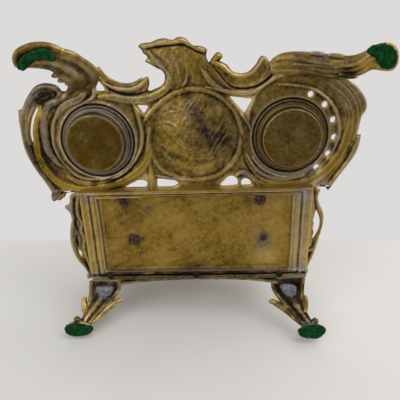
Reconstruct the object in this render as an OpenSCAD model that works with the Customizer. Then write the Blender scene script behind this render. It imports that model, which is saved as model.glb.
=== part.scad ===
// Desk inkstand: a rococo gilt brass tray on four feet, with two lidded ink pots,
// a shell dish between them and a letter rack on a moulded platform at the back.
// Front is -Y, up is +Z, and the felt soles stand at z = 0.

/* [Tray] */
// Height of the tray's underside above the desk
tray_h = 38; // [34:1:44]
// Thickness of the tray's web
web_t = 5; // [4:0.5:7]
// Height of the raised scrolls along the tray's border
scroll_h = 8; // [6:0.5:10]
// Width of the raised scrolls along the tray's border
scroll_w = 9; // [7:0.5:11]
// Middle of the tray's drawing across the footprint
centre_x = 0.4; // [-4:0.1:6]
// Middle of the tray's drawing along the footprint
centre_y = 4.9; // [0:0.1:10]

/* [Wells] */
// Distance from the middle of the tray to each well's axis
well_x = 81.5; // [80:0.5:84]
// Distance from the platform's screws forward to the wells' axes
well_y = 56; // [54:0.5:58]
// Radius of the hole that each pot stands in
well_r = 32; // [31:0.5:33]
// Radius of the moulding round the right well
moulding_r = 43; // [42:0.5:44]
// Number of quill holes beside the right well
quill_holes = 6; // [3:1:7]
// Radius of the circle of quill holes
quill_circle_r = 37; // [36.8:0.1:37.6]
// Radius of one quill hole
quill_r = 2.6; // [2:0.1:2.7]

/* [Dish] */
// Radius of the shell dish
dish_r = 37; // [35:0.5:38]
// How far the dish bulges below the tray
dish_depth = 9; // [6:0.5:12]
// Thickness of the dish
dish_t = 2.5; // [2:0.25:3.5]

/* [Pots] */
// Gap between a pot and its hole
pot_gap = 1.5; // [1:0.1:2]
// How far a pot's foot hangs below the tray
pot_drop = 11; // [8:0.5:14]
// Radius of a pot's flat foot
pot_foot_r = 23; // [20:0.5:25]
// Height of a pot's rim above the tray's top
pot_rim_h = 30; // [26:1:38]
// How far a pot's flange lies on the tray
flange_lap = 2; // [1.5:0.1:2.2]
// Thickness of a pot's flange
flange_t = 2.5; // [2:0.5:4]
// Thickness of a pot's wall
pot_wall = 2.5; // [2:0.25:3.5]

/* [Liners] */
// Radius of a glass liner outside
liner_r = 24; // [22:0.5:25]
// Thickness of a liner's glass
glass_t = 3; // [2:0.5:5]
// How far a liner stops below the pot's rim
liner_below = 3; // [1:0.5:5]

/* [Lids] */
// Height of a lid's dome
dome_h = 15; // [10:1:20]
// Thickness of a lid
lid_t = 2; // [1.5:0.25:3]
// Height of a lid's straight skirt
skirt_h = 3; // [2:0.5:5]
// Gap between a closed lid and its pot
lid_gap = 0.3; // [0.3:0.1:0.8]
// Height of a lid's finial
finial_h = 13; // [9:1:18]

/* [Hinges] */
// Radius of a hinge pin
pin_r = 1.2; // [1:0.1:1.5]
// Running clearance between a hinge pin and its knuckle
pin_clearance = 0.05; // [0.03:0.01:0.08]
// Radius of a knuckle
knuckle_r = 3; // [2.8:0.1:3.5]
// Length of the lid's middle knuckle
knuckle_l = 8; // [6:0.5:12]
// Length of each knuckle on the pot
ear_l = 4; // [3:0.5:6]
// Gap between neighbouring knuckles
knuckle_gap = 0.4; // [0.3:0.1:0.6]

/* [Platform] */
// Width of the platform
platform_w = 206; // [200:1:214]
// Depth of the platform
platform_d = 91; // [86:1:96]
// Distance from the front screws to the platform's front edge
platform_front = 12; // [11:0.5:13]
// How far the platform's rim hangs below the tray's underside
rim_drop = 8; // [6:0.5:10]
// Thickness of the platform's panel
panel_t = 7; // [5.5:0.5:8]
// Width of the moulded frame at the platform's sides
frame_side = 16; // [13:0.5:19]
// Width of the moulded frame at the platform's front
frame_front = 7.5; // [6:0.5:11]
// Width of the lip at the platform's back
frame_back = 9; // [8:0.5:12]

/* [Rack] */
// Thickness of the rack's panels
rack_t = 3; // [2.5:0.25:4]
// Width of the front panel
rack_front_w = 136; // [130:1:140]
// Width of the middle panel
rack_middle_w = 144; // [140:1:150]
// Width of the back panel
rack_back_w = 176; // [172:1:190]
// Width and depth of the bosses that the screws and rivets hold
boss_w = 9; // [7:0.5:9]
// Height of the bosses
boss_h = 7; // [6:0.5:9]
// Height of the front panel at its sides
rack_side_h = 20; // [16:1:24]
// Height of the front panel's crest
rack_front_h = 36; // [30:1:40]
// Height of the middle panel
rack_middle_h = 62; // [50:1:75]
// Height of the back panel
rack_back_h = 88; // [76:1:100]
// Distance between the two rows of screws
row_gap = 36; // [34:0.5:38]

/* [Fasteners] */
// Radius of a screw's head
head_r = 4.2; // [3.5:0.1:5]
// Height of a screw's head
head_h = 2; // [1.5:0.25:3]
// Radius of a screw's shank
shank_r = 1.7; // [1.4:0.1:2]
// Radius of a rivet
rivet_r = 2; // [1.5:0.25:2.5]
// Clearance round each shank in its hole
shank_clearance = 0.05; // [0.03:0.01:0.1]

/* [Feet] */
// Thickness of the felt soles
felt_t = 2; // [1:0.25:3]
// How far the felt stays inside a foot's edge
felt_inset = 0.8; // [0.4:0.1:1.5]
// Thickness of a foot
foot_t = 6; // [5:0.5:8]
// Thickness of the apron between the back legs
apron_t = 3; // [2.5:0.25:4]
// Depth of the apron at its ends
apron_h = 9; // [7:0.5:12]
// Width of the solder in each back leg
solder_w = 16; // [12:1:18]

/* [Hidden] */
$fn = 64;

brass = [0.62, 0.49, 0.22];
dark_brass = [0.47, 0.38, 0.2];
yellow_brass = [0.68, 0.53, 0.2];
felt_green = [0.05, 0.2, 0.12];
glass_tint = [0.8, 0.9, 0.9, 0.5];
steel = [0.25, 0.22, 0.2];
lead = [0.6, 0.62, 0.62];

web_top = tray_h + web_t;
rim_z = tray_h - rim_drop;
panel_z = web_top - panel_t;
plate_y0 = -platform_front;
plate_y1 = plate_y0 + platform_d;
pot_r = well_r - pot_gap;
flange_r = well_r + flange_lap;
flange_top = web_top + flange_t;
rim_top = web_top + pot_rim_h;
pot_floor = tray_h - pot_drop + pot_wall;
mouth_r = liner_r + 1;
rim_r = mouth_r + 4.5;
hinge_y = rim_r + knuckle_r + lid_gap;
hinge_z = rim_top + lid_gap + skirt_h / 2;
liner_top = rim_top - liner_below;
row_y = [0, row_gap];
front_screws = [-64, 58];
middle_screws = [-58, 61];
rack_back_x = -3.5;
rivet_out = rack_back_w / 2 - boss_w / 2 - 3;
rivet_x = [rack_back_x - rivet_out, -2, rack_back_x + rivet_out];
screw_bite = 5;
drawn_h = 38;
leg_block_t = 4;

// Middle of each foot, its length, width and turn
front_feet = [[-107, -124, 28, 12, -18], [134, -118, 25, 17, 10]];
back_reach = [33, 39];
back_splay = [8, 1];
back_feet = [[-platform_w / 2 - back_splay[0], plate_y1 + back_reach[0], 26, 15, 8],
             [platform_w / 2 + back_splay[1], plate_y1 + back_reach[1], 25, 15, -8]];

// Smooth curves through a few points

function between(a, b, c, d, t) =
    0.5 * (2 * b + (c - a) * t + (2 * a - 5 * b + 4 * c - d) * t * t
           + (3 * b - a - 3 * c + d) * t * t * t);

function loop_curve(p, n = 4) =
    let (m = len(p))
    [for (i = [0:m - 1]) for (k = [0:n - 1])
        between(p[(i + m - 1) % m], p[i], p[(i + 1) % m], p[(i + 2) % m], k / n)];

function open_curve(p, n = 4) =
    let (m = len(p) - 1)
    [for (i = [0:m - 1]) for (k = [0:n - 1])
        between(p[max(i - 1, 0)], p[i], p[i + 1], p[min(i + 2, m)], k / n),
     p[m]];

function unit(v) = v / norm(v);
function place_of(q) = [q[0], q[1], q[2]];

// A bar along a path of [x, y, z, width, height]
module bar(points, steps = 4, sides = 8) {
    path = open_curve(points, steps);
    n = len(path);
    rings = [for (i = [0:n - 1])
        let (
            along = unit(place_of(path[min(i + 1, n - 1)]) - place_of(path[max(i - 1, 0)])),
            side = unit(cross(along, [0, 0, 1])),
            rise = cross(side, along)
        )
        for (k = [0:sides - 1])
            place_of(path[i]) + side * cos(360 * (k + 0.5) / sides) * path[i][3] / 2
            + rise * sin(360 * (k + 0.5) / sides) * path[i][4] / 2];
    polyhedron(points = rings, faces = concat(
        [for (k = [1:sides - 2]) [0, k + 1, k]],
        [for (k = [1:sides - 2]) let (e = (n - 1) * sides) [e, e + k, e + k + 1]],
        [for (i = [0:n - 2]) for (k = [0:sides - 1])
            let (a = i * sides + k, b = i * sides + (k + 1) % sides)
            [a, b + sides, a + sides]],
        [for (i = [0:n - 2]) for (k = [0:sides - 1])
            let (a = i * sides + k, b = i * sides + (k + 1) % sides)
            [a, b, b + sides]]));
}

// A scroll that lies along the tray's border
module border_scroll(points) {
    mid = tray_h + web_t / 2;
    bar([for (q = points) [q[0], q[1], mid, scroll_w * q[2], scroll_h * q[2]]]);
}

module stadium(l, w) {
    for (s = [-1, 1]) translate([s * (l - w) / 2, 0]) circle(d = w);
    square([l - w, w], center = true);
}

module at_foot(f) {
    translate([f[0], f[1], 0]) rotate(f[4]) children();
}

module foot_block(f) {
    at_foot(f) translate([0, 0, felt_t]) linear_extrude(foot_t) stadium(f[2], f[3]);
}

module felt_pad(f) {
    color(felt_green) at_foot(f) linear_extrude(felt_t)
        stadium(f[2] - 2 * felt_inset, f[3] - 2 * felt_inset);
}

module at_well(side) {
    translate([side * well_x, -well_y, 0]) children();
}

// Front casting: web, border scrolls, crest, dish and front legs in one pour

web_outline = [
    [-103, -10], [-114, -13], [-124, -20], [-133, -34], [-138, -48], [-141, -64],
    [-138, -80], [-128, -92], [-116, -98], [-104, -98], [-94, -103], [-84, -108],
    [-72, -108], [-60, -102], [-48, -100], [-36, -101], [-26, -98], [-10, -99],
    [8, -101], [24, -107], [36, -104], [48, -106], [58, -109], [68, -112],
    [80, -117], [95, -115], [110, -109], [122, -102], [131, -96], [137, -84],
    [136, -70], [134, -56], [134, -40], [127, -24], [115, -14], [103, -10]];

crest_outline = [
    [-24, -95], [-20, -103], [-20, -109], [-24, -113], [-31, -117], [-36, -119],
    [-33, -124], [-40, -131], [-32, -133], [-20, -135], [-14, -133], [-7, -136],
    [1, -133], [8, -129], [14, -127], [12, -119], [17, -122], [21, -124],
    [25, -120], [21, -115], [14, -109], [12, -95]];

openings = [
    [[-64, -13], [-54, -19], [-48, -20], [-43, -19], [-44, -13]],
    [[-33, -13], [-32, -20], [-16, -18], [-14, -15], [-20, -13]],
    [[22, -13], [26, -18], [31, -21], [36, -20], [38, -15], [35, -13]],
    [[41, -13], [42, -18], [47, -19], [51, -15], [49, -13]],
    [[-46, -85], [-34, -84], [-40, -77]],
    [[31, -90], [49, -87], [42, -76]],
    [[-78, -103], [-78, -97], [-71, -98]],
    [[-139, -56], [-138, -68], [-135, -78], [-129, -86], [-131, -80], [-135, -69],
     [-136.5, -57]]];

module web() {
    translate([0, 0, tray_h]) linear_extrude(web_t) difference() {
        union() {
            polygon(loop_curve(web_outline, 3));
            polygon(crest_outline);
        }
        for (o = openings) polygon(o);
        dish_hole();
        translate([-platform_w, plate_y0]) square([2 * platform_w, 20]);
    }
}

dish_at = [2, -58];

module dish_hole() {
    translate(dish_at) circle(r = dish_r - 1);
}

// Radius of the ball whose cap has the dish's width and depth
function cap_radius(r, h) = (r * r + h * h) / (2 * h);

module dish() {
    ball = cap_radius(dish_r, dish_depth);
    cap = asin(dish_r / ball);
    steps = 10;
    arc = [for (i = [0:steps]) cap * i / steps];
    base = tray_h + web_t / 2 - dish_depth;
    translate(concat(dish_at, base)) rotate_extrude() polygon(concat(
        [for (a = arc) [ball * sin(a), ball * (1 - cos(a))]],
        [for (i = [steps:-1:0]) let (a = arc[i])
            [(ball - dish_t) * sin(a), ball - (ball - dish_t) * cos(a)]]));
    translate(concat(dish_at, tray_h - 1)) linear_extrude(web_t + 2) difference() {
        circle(r = dish_r + 2);
        circle(r = dish_r - 1.5);
    }
}

module round_moulding(side, r, w, h) {
    at_well(side) translate([0, 0, tray_h - 2]) linear_extrude(h) difference() {
        circle(r = r);
        circle(r = r - w);
    }
}

left_scroll = [
    [-109, -99, 0.5], [-116, -101, 0.8], [-125, -98, 1], [-134, -90, 1], [-141, -78, 1],
    [-143, -62, 1], [-141, -46, 1], [-136, -32, 1], [-130, -20, 0.95], [-127, -10, 0.8],
    [-130, -3, 0.4]];

right_scroll = [
    [119, -103, 0.6], [129, -98, 1], [137, -89, 1], [139, -77, 0.9], [136, -64, 0.8],
    [137, -50, 0.9], [134, -34, 0.9], [127, -20, 0.9], [119, -9, 0.5]];

middle_scroll = [
    [14, -112, 0.7], [23, -111, 0.8], [32, -106, 0.9], [42, -104, 1], [51, -107, 0.9],
    [56, -113, 0.7], [58, -119, 0.45]];

left_leg = [
    [-35, -107, 41, 4, 5], [-41, -103, 40, 7, 7], [-51, -101, 37, 9, 9],
    [-61, -104, 33, 10, 9], [-71, -112, 26, 10, 9], [-81, -121, 18, 10, 9],
    [-93, -128, 11, 10, 9], [-106, -128, 7, 10, 8], [-117, -122, 6, 8, 6]];

left_leg_root = [
    [-94, -94, 39, 11, 9], [-90, -103, 33, 10, 8], [-91, -112, 24, 10, 8],
    [-97, -119, 15, 10, 8], [-106, -122, 7, 10, 8]];

right_leg = [
    [62, -106, 38, 11, 9], [75, -112, 37, 14, 9], [90, -114, 34, 15, 9],
    [105, -114, 27, 13, 10], [118, -116, 17, 12, 10], [128, -118, 10, 13, 9],
    [136, -118, 7, 12, 8]];

// The front legs are drawn for one tray height and stretch with it
function lift(points) = [for (q = points)
    [q[0], q[1], q[2] * tray_h / drawn_h, q[3], q[4]]];

module front_casting() {
    color(brass) difference() {
        union() {
            web();
            dish();
            round_moulding(1, moulding_r, 5, web_t + 4);
            round_moulding(-1, moulding_r - 1, 5, web_t + 4);
            border_scroll(left_scroll);
            border_scroll(right_scroll);
            border_scroll(middle_scroll);
            bar(lift(left_leg));
            bar(lift(left_leg_root));
            bar(lift(right_leg));
            for (f = front_feet) foot_block(f);
        }
        for (s = [-1, 1]) at_well(s) cylinder(h = 3 * tray_h, r = well_r, center = true);
        at_well(1) for (i = [0:quill_holes - 1])
            rotate(65 - 24 * i) translate([quill_circle_r, 0, 0])
                cylinder(h = 3 * tray_h, r = quill_r, $fn = 32);
        translate([-platform_w, plate_y0, -1]) cube([2 * platform_w, platform_d, 2 * tray_h]);
    }
}

// Platform: a moulded frame round a flat panel, drilled for the rack's screws and rivets

module inset_block(share, z0, z1) {
    side = frame_side * share;
    translate([-platform_w / 2 + side, plate_y0 + frame_front * share, z0])
        cube([platform_w - 2 * side,
              platform_d - (frame_front + frame_back) * share, z1 - z0]);
}

module platform() {
    step = (panel_z - rim_z) / 4;
    color(yellow_brass) difference() {
        inset_block(0, rim_z, web_top);
        difference() {
            inset_block(0.35, rim_z - 1, panel_z - step);
            inset_block(0.45, rim_z + step, web_top);
        }
        inset_block(0.8, rim_z - 1, panel_z - step);
        inset_block(1, rim_z - 1, panel_z);
        for (x = front_screws) translate([x, row_y[0], 0])
            cylinder(h = 2 * web_top, r = shank_r + shank_clearance, $fn = 32);
        for (x = middle_screws) translate([x, row_y[1], 0])
            cylinder(h = 2 * web_top, r = shank_r + shank_clearance, $fn = 32);
        for (x = rivet_x) translate([x, plate_y1 - frame_back / 2, 0])
            cylinder(h = 2 * web_top, r = rivet_r + shank_clearance, $fn = 32);
    }
}

// Side rails: scrolled borders along the platform's two sides

// Each point is [distance out from the platform's side, y, share of the rail's width]
rail_w = 8;
rail_lug_l = 13;
rail_lug_w = 9;
rail_z = tray_h + web_t;
left_rail = [
    [15, 1, 0.5], [16, 7, 0.8], [13, 14, 1], [16, 26, 1], [18, 38, 1],
    [15, 52, 1], [9, 64, 0.9], [6, 73, 0.8], [9, 79, 0.5]];
right_rail = [
    [7, -10, 0.7], [8, 2, 0.8], [11, 12, 0.9], [14, 24, 1], [13, 38, 1],
    [10, 52, 1], [7, 64, 0.9], [4, 76, 0.7]];

module side_rail(points, side) {
    edge = platform_w / 2;
    color(dark_brass) difference() {
        union() {
            bar([for (q = points)
                [side * (edge + q[0]), q[1], rail_z, rail_w * q[2], rail_w * q[2]]]);
            for (y = [12, 62])
                translate([side > 0 ? edge : -edge - rail_lug_l, y, rail_z - rail_w / 4])
                    cube([rail_lug_l, rail_lug_w, rail_w / 2]);
        }
        translate([-edge, plate_y0 - 5, 0]) cube([2 * edge, platform_d + 10, 2 * web_top]);
    }
}

// Back legs: two leafy strands that meet at the foot, with a hollow back

function strand(from, foot, w) = [
    [from[0], from[1], from[2], w, 7],
    [from[0] * 0.85 + foot[0] * 0.15, from[1] * 0.65 + foot[1] * 0.35, from[2] - 6, w, 7],
    [from[0] * 0.5 + foot[0] * 0.5, from[1] * 0.35 + foot[1] * 0.65, from[2] * 0.5, w + 1, 7],
    [from[0] * 0.15 + foot[0] * 0.85, from[1] * 0.12 + foot[1] * 0.88, from[2] * 0.28, w + 2, 7],
    [foot[0], foot[1], felt_t + foot_t / 2, w + 2, foot_t]];

leg_top = plate_y1 + leg_block_t;
leg_outer = [platform_w / 2 - 3, leg_top, rim_z + 4];
leg_inner = [platform_w / 2 - 25, leg_top, rim_z + 3];
leg_margin = 3;

module back_leg(side, f) {
    color(dark_brass) difference() {
        union() {
            bar(strand([side * leg_outer[0], leg_outer[1], leg_outer[2]], f, 6));
            bar(strand([side * leg_inner[0], leg_inner[1], leg_inner[2]], f, 6));
            foot_block(f);
            translate([side * (leg_outer[0] + leg_inner[0]) / 2, plate_y1 + leg_block_t / 2,
                       (rim_z + web_top) / 2 - 1.5])
                cube([leg_outer[0] - leg_inner[0] + 2 * leg_margin, leg_block_t,
                      web_top - rim_z - 1], center = true);
        }
        translate([-platform_w, plate_y1 - 20, 0]) cube([2 * platform_w, 20, 2 * tray_h]);
    }
}

// Apron: a thin arch soldered under the back edge, between the legs

apron_half = leg_inner[0] - leg_margin;

module apron() {
    steps = 16;
    span = [for (i = [0:steps]) -1 + 2 * i / steps];
    color(dark_brass) translate([0, plate_y1 + apron_t, web_top - 3]) rotate([90, 0, 0])
        linear_extrude(apron_t) polygon(concat(
            [[apron_half, 0], [-apron_half, 0]],
            [for (s = span) [apron_half * s, -6 - apron_h * pow(abs(s), 3)]]));
}

module leg_solder() {
    mid = (leg_outer[0] + leg_inner[0]) / 2;
    blob = solder_w / 8;
    color(lead) for (s = [-1, 1]) hull() for (q = [[-4, 0, 2], [4, 0, 2], [0, 3.5, -2.5]])
        translate([s * mid + q[0] * blob, leg_top + blob + q[1] * blob, rim_z + q[2] * blob])
            sphere(r = blob, $fn = 10);
}

// Pots, liners, lids and hinges, each drawn about its own well

module pot() {
    bulge_r = well_r + 0.6;
    body_h = rim_top - flange_top;
    foot_z = tray_h - pot_drop;
    step_r = (pot_r - pot_foot_r) / 3;
    difference() {
        union() {
            rotate_extrude() polygon([
                [0, foot_z], [pot_foot_r, foot_z], [pot_foot_r + 1, foot_z + 1],
                [pot_foot_r + 1, foot_z + 3], [pot_foot_r + step_r, foot_z + 4],
                [pot_foot_r + step_r, foot_z + 7], [pot_foot_r + 2 * step_r, foot_z + 8],
                [pot_r, tray_h], [pot_r, web_top], [flange_r, web_top],
                [flange_r, flange_top], [bulge_r - 1, flange_top],
                [bulge_r, flange_top + body_h * 0.25], [bulge_r - 1, flange_top + body_h * 0.55],
                [rim_r - 1.5, flange_top + body_h * 0.8], [rim_r - 1.5, rim_top - 2.5],
                [rim_r, rim_top - 2], [rim_r, rim_top], [mouth_r, rim_top],
                [mouth_r, pot_floor + 5], [pot_foot_r - 2, pot_floor], [0, pot_floor]]);
            for (s = [-1, 1]) translate([s * (knuckle_l / 2 + knuckle_gap), 0, 0])
                mirror([s < 0 ? 1 : 0, 0, 0]) pot_ear();
        }
        translate([0, hinge_y, hinge_z]) rotate([0, 90, 0])
            cylinder(h = 2 * knuckle_l + 2 * ear_l, r = pin_r, center = true, $fn = 32);
        translate([0, hinge_y, hinge_z]) rotate([0, 90, 0])
            cylinder(h = knuckle_l + 2 * knuckle_gap, r = knuckle_r + knuckle_gap,
                     center = true, $fn = 32);
    }
}

module pot_ear() {
    translate([0, hinge_y, hinge_z]) rotate([0, 90, 0])
        cylinder(h = ear_l, r = knuckle_r, $fn = 32);
    translate([0, rim_r - 3, rim_top - 6]) cube([ear_l, hinge_y - rim_r + 5, 6]);
}

module lid() {
    base = rim_top + lid_gap;
    ball = cap_radius(rim_r, dome_h);
    cap = asin(rim_r / ball);
    steps = 8;
    apex = base + skirt_h + dome_h;
    difference() {
        union() {
            rotate_extrude() polygon(concat(
                [[rim_r, base]],
                [for (i = [0:steps]) let (a = cap * (1 - i / steps))
                    [ball * sin(a), apex - ball * (1 - cos(a))]],
                [for (i = [0:steps]) let (a = cap * i / steps)
                    [(ball - lid_t) * sin(a), apex - ball + (ball - lid_t) * cos(a)]],
                [[rim_r - lid_t, base]]));
            translate([0, hinge_y, hinge_z]) rotate([0, 90, 0])
                cylinder(h = knuckle_l, r = knuckle_r, center = true, $fn = 32);
            translate([-knuckle_l / 2, rim_r - lid_t, hinge_z])
                cube([knuckle_l, hinge_y - rim_r + lid_t, knuckle_r]);
        }
        translate([0, hinge_y, hinge_z]) rotate([0, 90, 0])
            cylinder(h = knuckle_l + 2, r = pin_r + pin_clearance, center = true, $fn = 32);
        cylinder(h = 2 * apex, r = 1.5, $fn = 32);
    }
}

module finial() {
    seat = rim_top + lid_gap + skirt_h + dome_h;
    rotate_extrude() polygon([
        [0, seat - lid_t - 1], [1.5, seat - lid_t - 1], [1.5, seat + 0.02], [5, seat + 0.02],
        [5, seat + 1], [2.5, seat + 2], [2, seat + 4], [4, seat + 6], [4.6, seat + finial_h * 0.65],
        [3.5, seat + finial_h * 0.85], [1.2, seat + finial_h], [0, seat + finial_h]]);
}

module liner() {
    base = pot_floor + 5;
    difference() {
        translate([0, 0, base]) cylinder(h = liner_top - base, r = liner_r);
        translate([0, 0, base + glass_t + 1]) cylinder(h = tray_h * 2, r = liner_r - glass_t);
    }
}

module hinge_pin() {
    half = knuckle_l / 2 + knuckle_gap + ear_l;
    translate([0, hinge_y, hinge_z]) rotate([0, 90, 0])
        cylinder(h = 2 * half, r = pin_r, center = true, $fn = 32);
}

// Letter rack: three upright pierced panels on foot flanges

module rack_panel(mid_x, y, half_w, side_h, crest_h, feet, hole_r) {
    outline = concat(
        [[-half_w, 0], [half_w, 0]],
        loop_half(half_w, side_h, crest_h));
    difference() {
        union() {
            translate([mid_x, y + rack_t / 2, web_top]) rotate([90, 0, 0])
                linear_extrude(rack_t) difference() {
                    polygon(outline);
                    if (side_h > 30) for (s = [-1, 1])
                        for (q = [[0.3, 0.45, 0.14], [0.62, 0.4, 0.12]])
                            translate([s * half_w * q[0], side_h * q[1]])
                                circle(r = half_w * q[2]);
                }
            for (x = feet) translate([x - boss_w / 2, y - boss_w / 2, web_top])
                cube([boss_w, boss_w, boss_h]);
        }
        for (x = feet) translate([x, y, web_top - 1])
            cylinder(h = screw_bite + 1.5, r = hole_r + shank_clearance, $fn = 32);
    }
}

function loop_half(w, s, c) = open_curve([
    [w, s * 0.55], [w * 0.93, s * 0.9], [w * 0.75, s * 0.95], [w * 0.6, s * 0.8],
    [w * 0.4, s * 0.9], [w * 0.25, s + (c - s) * 0.5], [w * 0.12, c * 0.95], [0, c],
    [-w * 0.12, c * 0.95], [-w * 0.25, s + (c - s) * 0.5], [-w * 0.4, s * 0.9],
    [-w * 0.6, s * 0.8], [-w * 0.75, s * 0.95], [-w * 0.93, s * 0.9], [-w, s * 0.55]], 3);

function middle_of(v) = (v[0] + v[len(v) - 1]) / 2;

module rack_front() {
    color(brass) rack_panel(middle_of(front_screws), row_y[0], rack_front_w / 2,
                            rack_side_h, rack_front_h, front_screws, shank_r);
}

module rack_middle() {
    color(brass) rack_panel(middle_of(middle_screws), row_y[1], rack_middle_w / 2,
                            rack_middle_h * 0.75, rack_middle_h, middle_screws, shank_r);
}

module rack_back() {
    color(brass) rack_panel(rack_back_x, plate_y1 - frame_back / 2, rack_back_w / 2,
                            rack_back_h * 0.72, rack_back_h, rivet_x, rivet_r);
}

module rack_screws() {
    color(steel) for (q = concat(
        [for (x = front_screws) [x, row_y[0]]], [for (x = middle_screws) [x, row_y[1]]]))
        translate([q[0], q[1], panel_z - head_h]) difference() {
            union() {
                cylinder(h = head_h, r = head_r, $fn = 32);
                cylinder(h = head_h + panel_t + screw_bite, r = shank_r, $fn = 32);
            }
            cube([2 * head_r + 1, 1, 1.4], center = true);
        }
}

module rack_rivets() {
    color(dark_brass) for (x = rivet_x) translate([x, plate_y1 - frame_back / 2, rim_z - 1]) {
        cylinder(h = 1, r = rivet_r + 1, $fn = 32);
        cylinder(h = web_top + screw_bite + 1 - rim_z, r = rivet_r, $fn = 32);
    }
}

// Every piece is drawn about the tray and then moved to the middle of its footprint
module placed() {
    translate([centre_x, centre_y, 0]) children();
}

placed() front_casting();
placed() platform();
placed() side_rail(left_rail, -1);  // left_side_rail
placed() side_rail(right_rail, 1);  // right_side_rail
placed() back_leg(-1, back_feet[0]);  // left_back_leg
placed() back_leg(1, back_feet[1]);  // right_back_leg
placed() apron();
placed() leg_solder();
placed() felt_pad(front_feet[0]);  // left_front_felt
placed() felt_pad(front_feet[1]);  // right_front_felt
placed() felt_pad(back_feet[0]);  // left_back_felt
placed() felt_pad(back_feet[1]);  // right_back_felt
placed() color(brass) at_well(-1) pot();  // left_pot
placed() color(brass) at_well(1) pot();  // right_pot
placed() color(glass_tint) at_well(-1) liner();  // left_liner
placed() color(glass_tint) at_well(1) liner();  // right_liner
placed() color(brass) at_well(-1) lid();  // left_lid
placed() color(brass) at_well(1) lid();  // right_lid
placed() color(brass) at_well(-1) finial();  // left_finial
placed() color(brass) at_well(1) finial();  // right_finial
placed() color(steel) at_well(-1) hinge_pin();  // left_hinge_pin
placed() color(steel) at_well(1) hinge_pin();  // right_hinge_pin
placed() rack_front();
placed() rack_middle();
placed() rack_back();
placed() rack_screws();
placed() rack_rivets();
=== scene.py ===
"""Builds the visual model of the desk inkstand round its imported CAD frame."""
import math

import bpy
import numpy as np
from bpy.props import FloatProperty, FloatVectorProperty, IntProperty, PointerProperty
from bpy.types import Operator, Panel, PropertyGroup
from mathutils import Matrix, Vector
from mathutils.geometry import delaunay_2d_cdt


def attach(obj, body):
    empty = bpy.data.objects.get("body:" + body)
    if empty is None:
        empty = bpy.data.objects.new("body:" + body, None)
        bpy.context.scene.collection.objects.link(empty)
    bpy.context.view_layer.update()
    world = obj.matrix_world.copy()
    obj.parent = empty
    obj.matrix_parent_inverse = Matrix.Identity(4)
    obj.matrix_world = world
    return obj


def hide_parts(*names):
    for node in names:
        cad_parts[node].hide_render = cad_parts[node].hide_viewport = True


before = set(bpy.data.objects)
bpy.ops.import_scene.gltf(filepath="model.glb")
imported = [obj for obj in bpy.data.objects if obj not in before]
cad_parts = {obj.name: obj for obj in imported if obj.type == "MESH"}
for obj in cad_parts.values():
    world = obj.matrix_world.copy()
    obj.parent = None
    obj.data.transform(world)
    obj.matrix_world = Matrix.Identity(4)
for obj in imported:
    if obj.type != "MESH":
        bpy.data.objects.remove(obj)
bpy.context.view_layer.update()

bl_info = {
    "name": "Desk Inkstand",
    "version": (1, 0, 0),
    "blender": (4, 5, 0),
    "location": "View3D > Sidebar > Inkstand",
    "description": "Makes a cast brass desk inkstand round its CAD frame",
    "category": "Object",
}

# Points are in mm as (across, forward, height): across and forward are measured
# from the middle of the tray and the front screws, height from the desk.
TRAY_X = 0.4
TRAY_Y = 4.9
WEB_LOW = 38.0
WEB_TOP = 43.0
SEAM = 2.5
WELL_X = 81.5
WELL_V = 56.0
WELL_R = 32.0
WELLS = {"left": -WELL_X, "right": WELL_X}
DISH = (2.0, 58.0)
DISH_R = 36.5


def to_part(points):
    """Tray points in mm, moved to the part's frame in metres."""
    p = np.asarray(points, float)
    return np.column_stack([p[:, 0] + TRAY_X, TRAY_Y - p[:, 1], p[:, 2]]) / 1000


def tray_mm(verts):
    """Part-frame vertices in metres, back in tray mm."""
    return np.column_stack([verts[:, 0] * 1000 - TRAY_X, TRAY_Y - verts[:, 1] * 1000,
                            verts[:, 2] * 1000])


# Curves, outlines and soft fields


def spline(points, steps=6, closed=False):
    """A smooth curve through a few points with any number of columns."""
    p = np.asarray(points, float)
    p = np.vstack([p[-1:], p, p[:2]]) if closed else np.vstack([p[:1], p, p[-1:]])
    t = np.linspace(0, 1, steps, endpoint=False)[:, None]
    parts = []
    for a, b, c, d in zip(p, p[1:], p[2:], p[3:]):
        parts.append(0.5 * (2 * b + (c - a) * t + (2 * a - 5 * b + 4 * c - d) * t ** 2
                            + (3 * b - a - 3 * c + d) * t ** 3))
    if not closed:
        parts.append(p[-1:])
    return np.vstack(parts)


def evenly(path, step, closed=False):
    """The same path with its points about step apart."""
    if closed:
        path = np.vstack([path, path[:1]])
    length = np.r_[0, np.cumsum(np.linalg.norm(np.diff(path[:, :3], axis=0), axis=1))]
    count = max(int(round(length[-1] / step)), 4)
    at = np.linspace(0, length[-1], count, endpoint=not closed)
    return np.column_stack([np.interp(at, length, column) for column in path.T])


def smooth_loop(points, step, steps=6):
    """A closed outline through a few points."""
    return evenly(spline(points, steps, True), step, True)


def circle(x, v, r, count):
    """Points round a circle."""
    a = np.radians(np.linspace(0, 360, count + 1))[:-1]
    return np.column_stack([x + r * np.cos(a), v + r * np.sin(a)])


def away(points, x, v):
    """Each point's distance from a place, seen from above."""
    return np.hypot(points[:, 0] - x, points[:, 1] - v)


def inside(points, loop):
    """Which points lie inside a closed loop."""
    x, y = points.T
    hit = np.zeros(len(points), bool)
    for (x0, y0), (x1, y1) in zip(loop, np.roll(loop, -1, 0)):
        if y0 != y1:
            hit ^= ((y0 > y) != (y1 > y)) & (x < (x1 - x0) * (y - y0) / (y1 - y0) + x0)
    return hit


def in_plate(points, outline, holes):
    """Which points lie inside the outline and outside its holes."""
    keep = inside(points, outline)
    for hole in holes:
        keep &= ~inside(points, hole)
    return keep


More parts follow.
